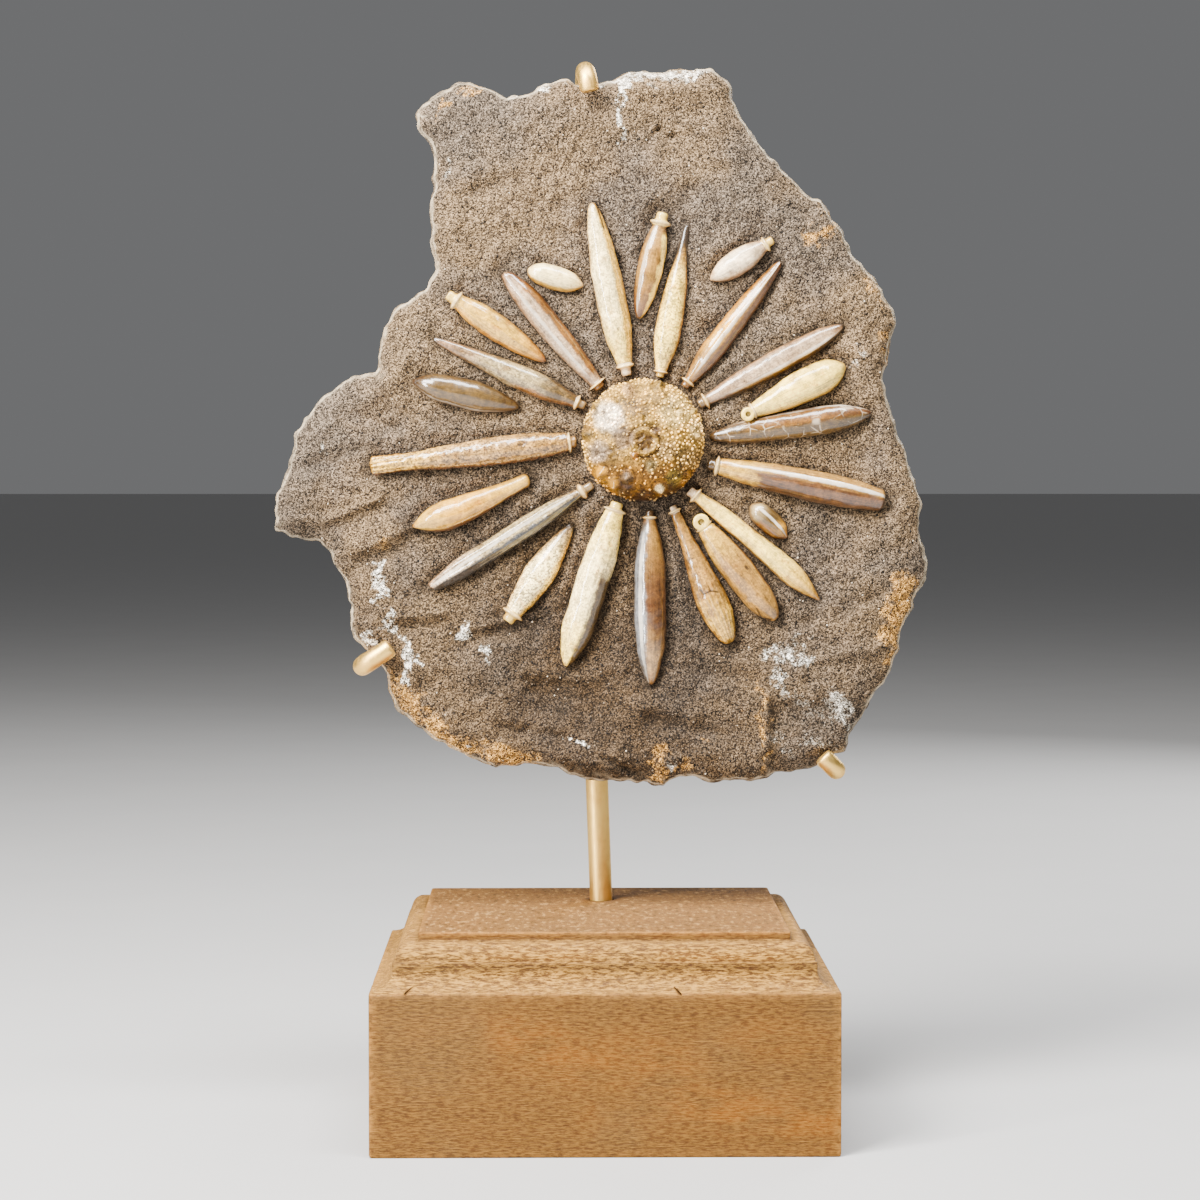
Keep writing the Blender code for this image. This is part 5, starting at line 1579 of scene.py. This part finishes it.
def rod_piece(name, line, girth, radius, material):
    """A round rod along a line of places."""
    mesh = bpy.data.meshes.new(name)
    mesh.from_pydata((np.array(line) * MM).tolist(), [(i, i + 1) for i in range(len(line) - 1)], [])
    paint(mesh, girth=girth)
    piece = in_scene(name, mesh)
    run_tree(piece, "rod", {"Radius": radius * MM, "Sides": ROD_SIDES, "Material": material})
    return settled(piece, material, True)


def build_rod(name, route, radius, swell, node_name, material):
    """A brass rod with softened ends; swell widens its brazed start."""
    line = filled(route, ROD_STEP)
    gone = np.concatenate(([0], np.cumsum(np.linalg.norm(np.diff(line, axis=0), axis=1))))
    length = gone[-1]
    near, shares = np.array(TIP_TAPER).T
    start = np.unique([*near, *(length - near), *gone[(gone > 1.2) & (gone < length - 1.2)]])
    line = np.column_stack([np.interp(start, gone, line[:, axis]) for axis in range(3)])
    girth = np.interp(length - start, near, shares)
    girth *= 1 + swell * bell(start, BRAZE_REACH) if swell else np.interp(start, near, shares)
    hand_over(rod_piece(name, line, girth, radius, material), "brass", node_name)


def build_brass(brass, base):
    material = satin_brass(brass)
    post, arm = brass.post_radius / MM, brass.arm_radius / MM
    foot, top = post_point(POST_FOOT_Z + GAP, brass, base), post_point(POST_TOP_Z, brass, base)
    build_rod("brass_rod", [foot, top], post, 0, "brass_post", material)
    for name, start_z, side, corner, tip in CLAWS:
        if start_z is None:
            leg = [Vector((top.x, ARM_Y, top.z))]
        else:
            near, far = (post_point(start_z, brass, base, side * (post - 0.4 + reach)) for reach in (0, 6))
            near.y = far.y = ARM_Y
            leg = [near, far]
        front = claw_depth(corner, tip, arm)
        corners = leg + [in_part(corner, ARM_Y), in_part(corner, front), in_part(tip, front)]
        radii = [BACK_BEND] * len(leg) + [CLAW_BEND]
        build_rod(name.replace("claw", "hook"), rounded_route(corners, radii), arm, BRAZE_SWELL, name,
                  material)


# -------- the wooden base

RISER_HEIGHT, STEP = 2.0, 0.5
OVOLO_WIDTH, OVOLO_HEIGHT = 3.4, 4.3
LEDGE_WIDTH, FILLET_HEIGHT = 2.1, 2.1
HOLE_CLEARANCE = 0.4
ARC_STEPS = 10
BASE_CELL = 1.3  # spacing of the block's faces
WARM_WOOD = [  # orange patches on the front: from, to, half width, strength
    ((-24, 29), (-10, 25), 6.0, 0.9), ((-8, 24), (18, 22), 6.5, 0.75), ((16, 14), (54, 8), 6.0, 1),
    ((-2, 10), (20, 12), 4.0, 0.5), ((-46, 30), (-30, 33), 4.0, 0.4), ((30, 30), (50, 26), 4.5, 0.5),
    ((-50, 52.4), (50, 52.4), 1.3, 0.8), ((-30, 47.5), (50, 46.5), 1.5, 0.5),
]
SPLITS = [  # thin cracks in the front: points (x, z) and width
    ([(-43.2, 43.2), (-44.4, 41.9), (-45.4, 40.4), (-47.4, 39.0)], 1.7),
    ([(15.6, 40.6), (17.0, 39.6), (18.0, 38.8)], 1.1),
]


def moulding(base):
    """(distance in from the block's side, 0, height) up the block's side and moulding."""
    block, cove_w, cove_h = base.block_height / MM, base.cove_width / MM, base.cove_height / MM
    foot = block + cove_h + RISER_HEIGHT
    turns = [math.pi / 2 * i / ARC_STEPS for i in range(1, ARC_STEPS + 1)]
    cove = [(cove_w * math.sin(turn), block + cove_h * (1 - math.cos(turn))) for turn in turns]
    ovolo = [(cove_w + STEP + OVOLO_WIDTH * (1 - math.cos(turn)), foot + OVOLO_HEIGHT * math.sin(turn))
             for turn in turns]
    shelf = cove_w + STEP + OVOLO_WIDTH + LEDGE_WIDTH
    top = base_height(base) / MM
    radius = base.rounding / MM
    far = half_sizes(base)[1] - 0.3
    runs = [([(far, 0), (0, 0), (0, block), cove[0]], radius), (cove, 0),
            ([cove[-1], (cove_w, foot), (cove_w + STEP, foot), ovolo[0]], radius * 0.35), (ovolo, 0),
            ([ovolo[-1], (shelf, top - FILLET_HEIGHT), (shelf, top), (far, top)], radius * 0.6)]
    made = []
    for corners, rounding in runs:
        corners = [Vector((inset, 0, height)) for inset, height in corners]
        made += rounded_route(corners, [rounding] * 2, 3) if rounding else corners[1:-1]
    return made


def half_sizes(base):
    """Half the block's width and depth, in millimetres."""
    return base.width / MM / 2, base.depth / MM / 2


def base_mesh(base):
    """The block and its moulding as one skin of rectangular rings, closed in its middle."""
    half_x, half_y = half_sizes(base)
    count_x, count_y = int(half_x * 2 / BASE_CELL), int(half_y * 2 / BASE_CELL)
    run_x, run_y = np.linspace(-1, 1, count_x, endpoint=False), np.linspace(-1, 1, count_y, endpoint=False)
    x = np.concatenate((run_x, np.ones(count_y), -run_x, -np.ones(count_y)))
    y = np.concatenate((-np.ones(count_x), run_y, np.ones(count_x), -run_y))
    profile = filled(moulding(base), BASE_CELL)
    rings = [np.column_stack((x * (half_x - inset), y * (half_y - inset), np.full(len(x), height)))
             for inset, _, height in profile]
    poles = [(0, 0, profile[0][2]), (0, 0, profile[-1][2])]
    return solid("wood_block", np.vstack((*rings, *poles)), tube(len(rings), len(x)))


def split_cutter(points, width, front):
    """A thin wedge along a crack, that goes a little way into the front."""
    rows = []
    for i, (x, z) in enumerate(points):
        before, after = Vector(points[max(i - 1, 0)]), Vector(points[min(i + 1, len(points) - 1)])
        along = (after - before).normalized()
        share = math.sin(math.pi * (i + 0.5) / len(points))
        half = width / 2 * (0.25 + 0.75 * share)
        rows += [(x + along.y * side, deep, z - along.x * side)
                 for side, deep in ((-half, front - 3), (half, front - 3), (0.05, front + 1.5 + 2.2 * share),
                                    (-0.05, front + 1.5 + 2.2 * share))]
    rows += [np.mean(rows[:4], axis=0), np.mean(rows[-4:], axis=0)]
    return in_scene("split", solid("split", rows, tube(len(points), 4)))


def build_base(base, brass):
    mesh = base_mesh(base)
    places = points_of(mesh)
    block, top = base.block_height / MM, base_height(base) / MM
    half_x, half_y = half_sizes(base)
    in_x, in_y = half_x - np.abs(places[:, 0]), half_y - np.abs(places[:, 1])
    inset, height = np.minimum(in_x, in_y), places[:, 2]
    at_corner = np.exp(-(in_x / 1.2) ** 2 - (in_y / 1.2) ** 2)
    at_arris = np.exp(-((height - block) / 0.7) ** 2 - (inset / 0.8) ** 2)
    dents = np.clip(deep_noise(places, 9, 6) - 0.35, 0, 1)
    torn = np.clip(deep_noise(places * (0.35, 1, 1), 1.1, 3) - 0.25, 0, 1)
    worn = at_arris * (0.5 * torn + 0.5 * dents) + 0.5 * at_corner * dents * (height > 1)
    mitred = (np.abs(in_x - in_y) < 0.01) * 0.3 * base.rounding / MM
    ripple = 0.05 * deep_noise(places * (0.2, 1, 1), 1.6, 1) * (height > block + 0.5) * (height < top - 0.2)
    inwards = -np.sign(places) * (0.5 * worn + mitred)[:, None]
    inwards[:, 2] = ripple - worn
    move_points(mesh, places + inwards)
    shelf = base.cove_width / MM + OVOLO_WIDTH + STEP + LEDGE_WIDTH
    # Edges for the lighter worn arrises, partly a painted edge highlight
    edges = at_corner
    for at, edge_in in ((block, 0), (top, shelf), (0, 0)):
        edges = np.maximum(edges, np.exp(-((height - at) / 0.6) ** 2 - ((inset - edge_in) / 0.7) ** 2))
    # Painted shade under the ovolo, under the fillet and round the post's hole
    under_ovolo = block + base.cove_height / MM + RISER_HEIGHT / 2
    hollow = 0.75 * bell(height - under_ovolo, 1.2) * (inset < base.cove_width / MM + 1)
    hollow = np.maximum(hollow, 0.6 * bell(height - top + FILLET_HEIGHT, 0.4) * (inset > shelf - 0.8))
    off_post = np.hypot(places[:, 0], places[:, 1] - POST_Y)
    hollow = np.maximum(hollow, (height > top - 0.3) * (1 - smooth_step(off_post, 3.4, 5.6)))
    # torn: the moulding gets the bright flecks, partly a painted highlight
    moulded = (height > block - 0.2) & (height < top - FILLET_HEIGHT + 0.3)
    # dust: faces that look up, for dust and a painted sheen
    paint(mesh, warm=strokes(places[:, 0], height, WARM_WOOD), torn=np.where(moulded, 1, 0.25),
          edge=edges, hollow=hollow, dust=np.clip(normals_of(mesh)[:, 2], 0, 1) ** 1.5)
    material = timber(base)
    piece = in_scene("wood_block", mesh)
    ends = post_point(POST_FOOT_Z, brass, base), post_point(top + 6, brass, base)
    cutters = [rod_piece("drill", ends, (1, 1), brass.post_radius / MM + HOLE_CLEARANCE, material)]
    cutters += [split_cutter(points, width, -half_y) for points, width in SPLITS]
    for cutter in cutters:
        cut = piece.modifiers.new("cut", "BOOLEAN")
        cut.operation, cut.solver, cut.object = "DIFFERENCE", "EXACT", cutter
    piece = settled(piece, material, True)
    for cutter in cutters:
        bpy.data.objects.remove(cutter)
    hand_over(piece, "wood", "wooden_base")


# -------- the stage

CAMERA_PLACE = (-0.0116, -0.755, 0.1598)
CAMERA_DOWN, CAMERA_RIGHT = 2.25, 0.84  # degrees
FLOOR_SIZE = 80.0
LIT_POINT = (0, 0, 0.15)
LIGHTS = [  # name, place, width and height, its power's setting, colour
    ("key_light", (-0.36, -0.42, 0.62), (0.34, 0.34), "key_power", (1, 0.97, 0.93)),
    ("fill_light", (-0.75, -0.62, 0.22), (0.07, 0.60), "fill_power", (1, 0.98, 0.95)),
    ("top_light", (0.05, -0.30, 0.95), (0.7, 0.25), "top_power", (1, 1, 1)),
    ("back_light", (0.50, 0.80, 0.50), (0.4, 0.4), "back_power", (1, 1, 1)),
]
SKY_COLOUR = (0.93, 0.94, 0.96, 1)


def soft_light(name, place, size, power, colour):
    light = bpy.data.lights.new(name, "AREA")
    light.shape = "RECTANGLE"
    light.size, light.size_y = size
    light.energy = power
    light.color = colour
    holder = in_scene(name, light)
    holder.location = place
    holder.rotation_euler = (Vector(LIT_POINT) - Vector(place)).to_track_quat("-Z", "Y").to_euler()


def build_stage(stage):
    half = FLOOR_SIZE / MM / 2
    mesh = solid("studio_floor", [(-half, -half, 0), (half, -half, 0), (half, half, 0), (-half, half, 0)],
                 [(0, 1, 2, 3)])
    mesh.materials.append(plain("floor_paint", tuple(stage.floor), 0.75))
    in_scene("studio_floor", mesh)

    for name, place, size, power, colour in LIGHTS:
        soft_light(name, place, size, getattr(stage, power), colour)

    world = bpy.data.worlds.new("studio")
    world.use_nodes = True
    sky = world.node_tree.nodes["Background"]
    sky.inputs["Color"].default_value = SKY_COLOUR
    sky.inputs["Strength"].default_value = stage.sky
    bpy.context.scene.world = world

    camera = bpy.data.cameras.new("camera")
    camera.lens = stage.lens
    camera.sensor_width = 36.0
    camera.clip_start = 0.01
    holder = in_scene("camera", camera)
    holder.location = CAMERA_PLACE
    holder.rotation_euler = (math.radians(90 - CAMERA_DOWN), 0, math.radians(-CAMERA_RIGHT))
    bpy.context.scene.camera = holder


# -------- operators

class FOSSIL_OT_stage(bpy.types.Operator):
    """Adds the floor, the lights and the camera"""
    bl_idname = "fossil.stage"
    bl_label = "Build stage"

    def execute(self, context):
        shared()
        build_stage(context.scene.fossil_stage)
        return {"FINISHED"}


class FOSSIL_OT_slab(bpy.types.Operator):
    """Builds the slab of sandstone with its stains, its painted rim highlight and its loose grains"""
    bl_idname = "fossil.slab"
    bl_label = "Build slab"

    def execute(self, context):
        shared()
        build_slab(context.scene.fossil_slab)
        return {"FINISHED"}


class FOSSIL_OT_test(bpy.types.Operator):
    """Builds the urchin's test with its crown, tubercles and granules"""
    bl_idname = "fossil.test"
    bl_label = "Build test"

    def execute(self, context):
        shared()
        build_test(context.scene.fossil_test)
        return {"FINISHED"}


class FOSSIL_OT_spines(bpy.types.Operator):
    """Builds the loose spines round the test"""
    bl_idname = "fossil.spines"
    bl_label = "Build spines"

    def execute(self, context):
        shared()
        for number, spine in enumerate(SPINES, 1):
            build_spine(number, spine, context.scene.fossil_spines)
        return {"FINISHED"}


class FOSSIL_OT_brass(bpy.types.Operator):
    """Builds the brass post and its three claws"""
    bl_idname = "fossil.brass"
    bl_label = "Build brass rods"

    def execute(self, context):
        shared()
        build_brass(context.scene.fossil_brass, context.scene.fossil_base)
        return {"FINISHED"}


class FOSSIL_OT_base(bpy.types.Operator):
    """Builds the moulded wooden base"""
    bl_idname = "fossil.base"
    bl_label = "Build wooden base"

    def execute(self, context):
        shared()
        build_base(context.scene.fossil_base, context.scene.fossil_brass)
        return {"FINISHED"}


class FOSSIL_PT_sidebar(bpy.types.Panel):
    """Lists the pieces and their sizes"""
    bl_idname = "FOSSIL_PT_sidebar"
    bl_label = "Fossil urchin"
    bl_space_type = "VIEW_3D"
    bl_region_type = "UI"
    bl_category = "Fossil"

    def draw(self, context):
        for operator, settings, _ in PIECES:
            box = self.layout.box()
            box.operator(operator.bl_idname)
            values = getattr(context.scene, settings)
            for name in values.__annotations__:
                box.prop(values, name)


PIECES = [
    (FOSSIL_OT_stage, "fossil_stage", StageSettings), (FOSSIL_OT_slab, "fossil_slab", SlabSettings),
    (FOSSIL_OT_test, "fossil_test", TestSettings), (FOSSIL_OT_spines, "fossil_spines", SpineSettings),
    (FOSSIL_OT_brass, "fossil_brass", BrassSettings), (FOSSIL_OT_base, "fossil_base", BaseSettings),
]


def register():
    for operator, name, settings in PIECES:
        bpy.utils.register_class(operator)
        bpy.utils.register_class(settings)
        setattr(bpy.types.Scene, name, PointerProperty(type=settings))
    bpy.utils.register_class(FOSSIL_PT_sidebar)


def unregister():
    bpy.utils.unregister_class(FOSSIL_PT_sidebar)
    for operator, name, settings in PIECES:
        delattr(bpy.types.Scene, name)
        bpy.utils.unregister_class(settings)
        bpy.utils.unregister_class(operator)


def main():
    register()
    bpy.ops.fossil.stage()
    bpy.ops.fossil.slab()
    bpy.ops.fossil.test()
    bpy.ops.fossil.spines()
    bpy.ops.fossil.brass()
    bpy.ops.fossil.base()


if __name__ == "__main__":
    main()
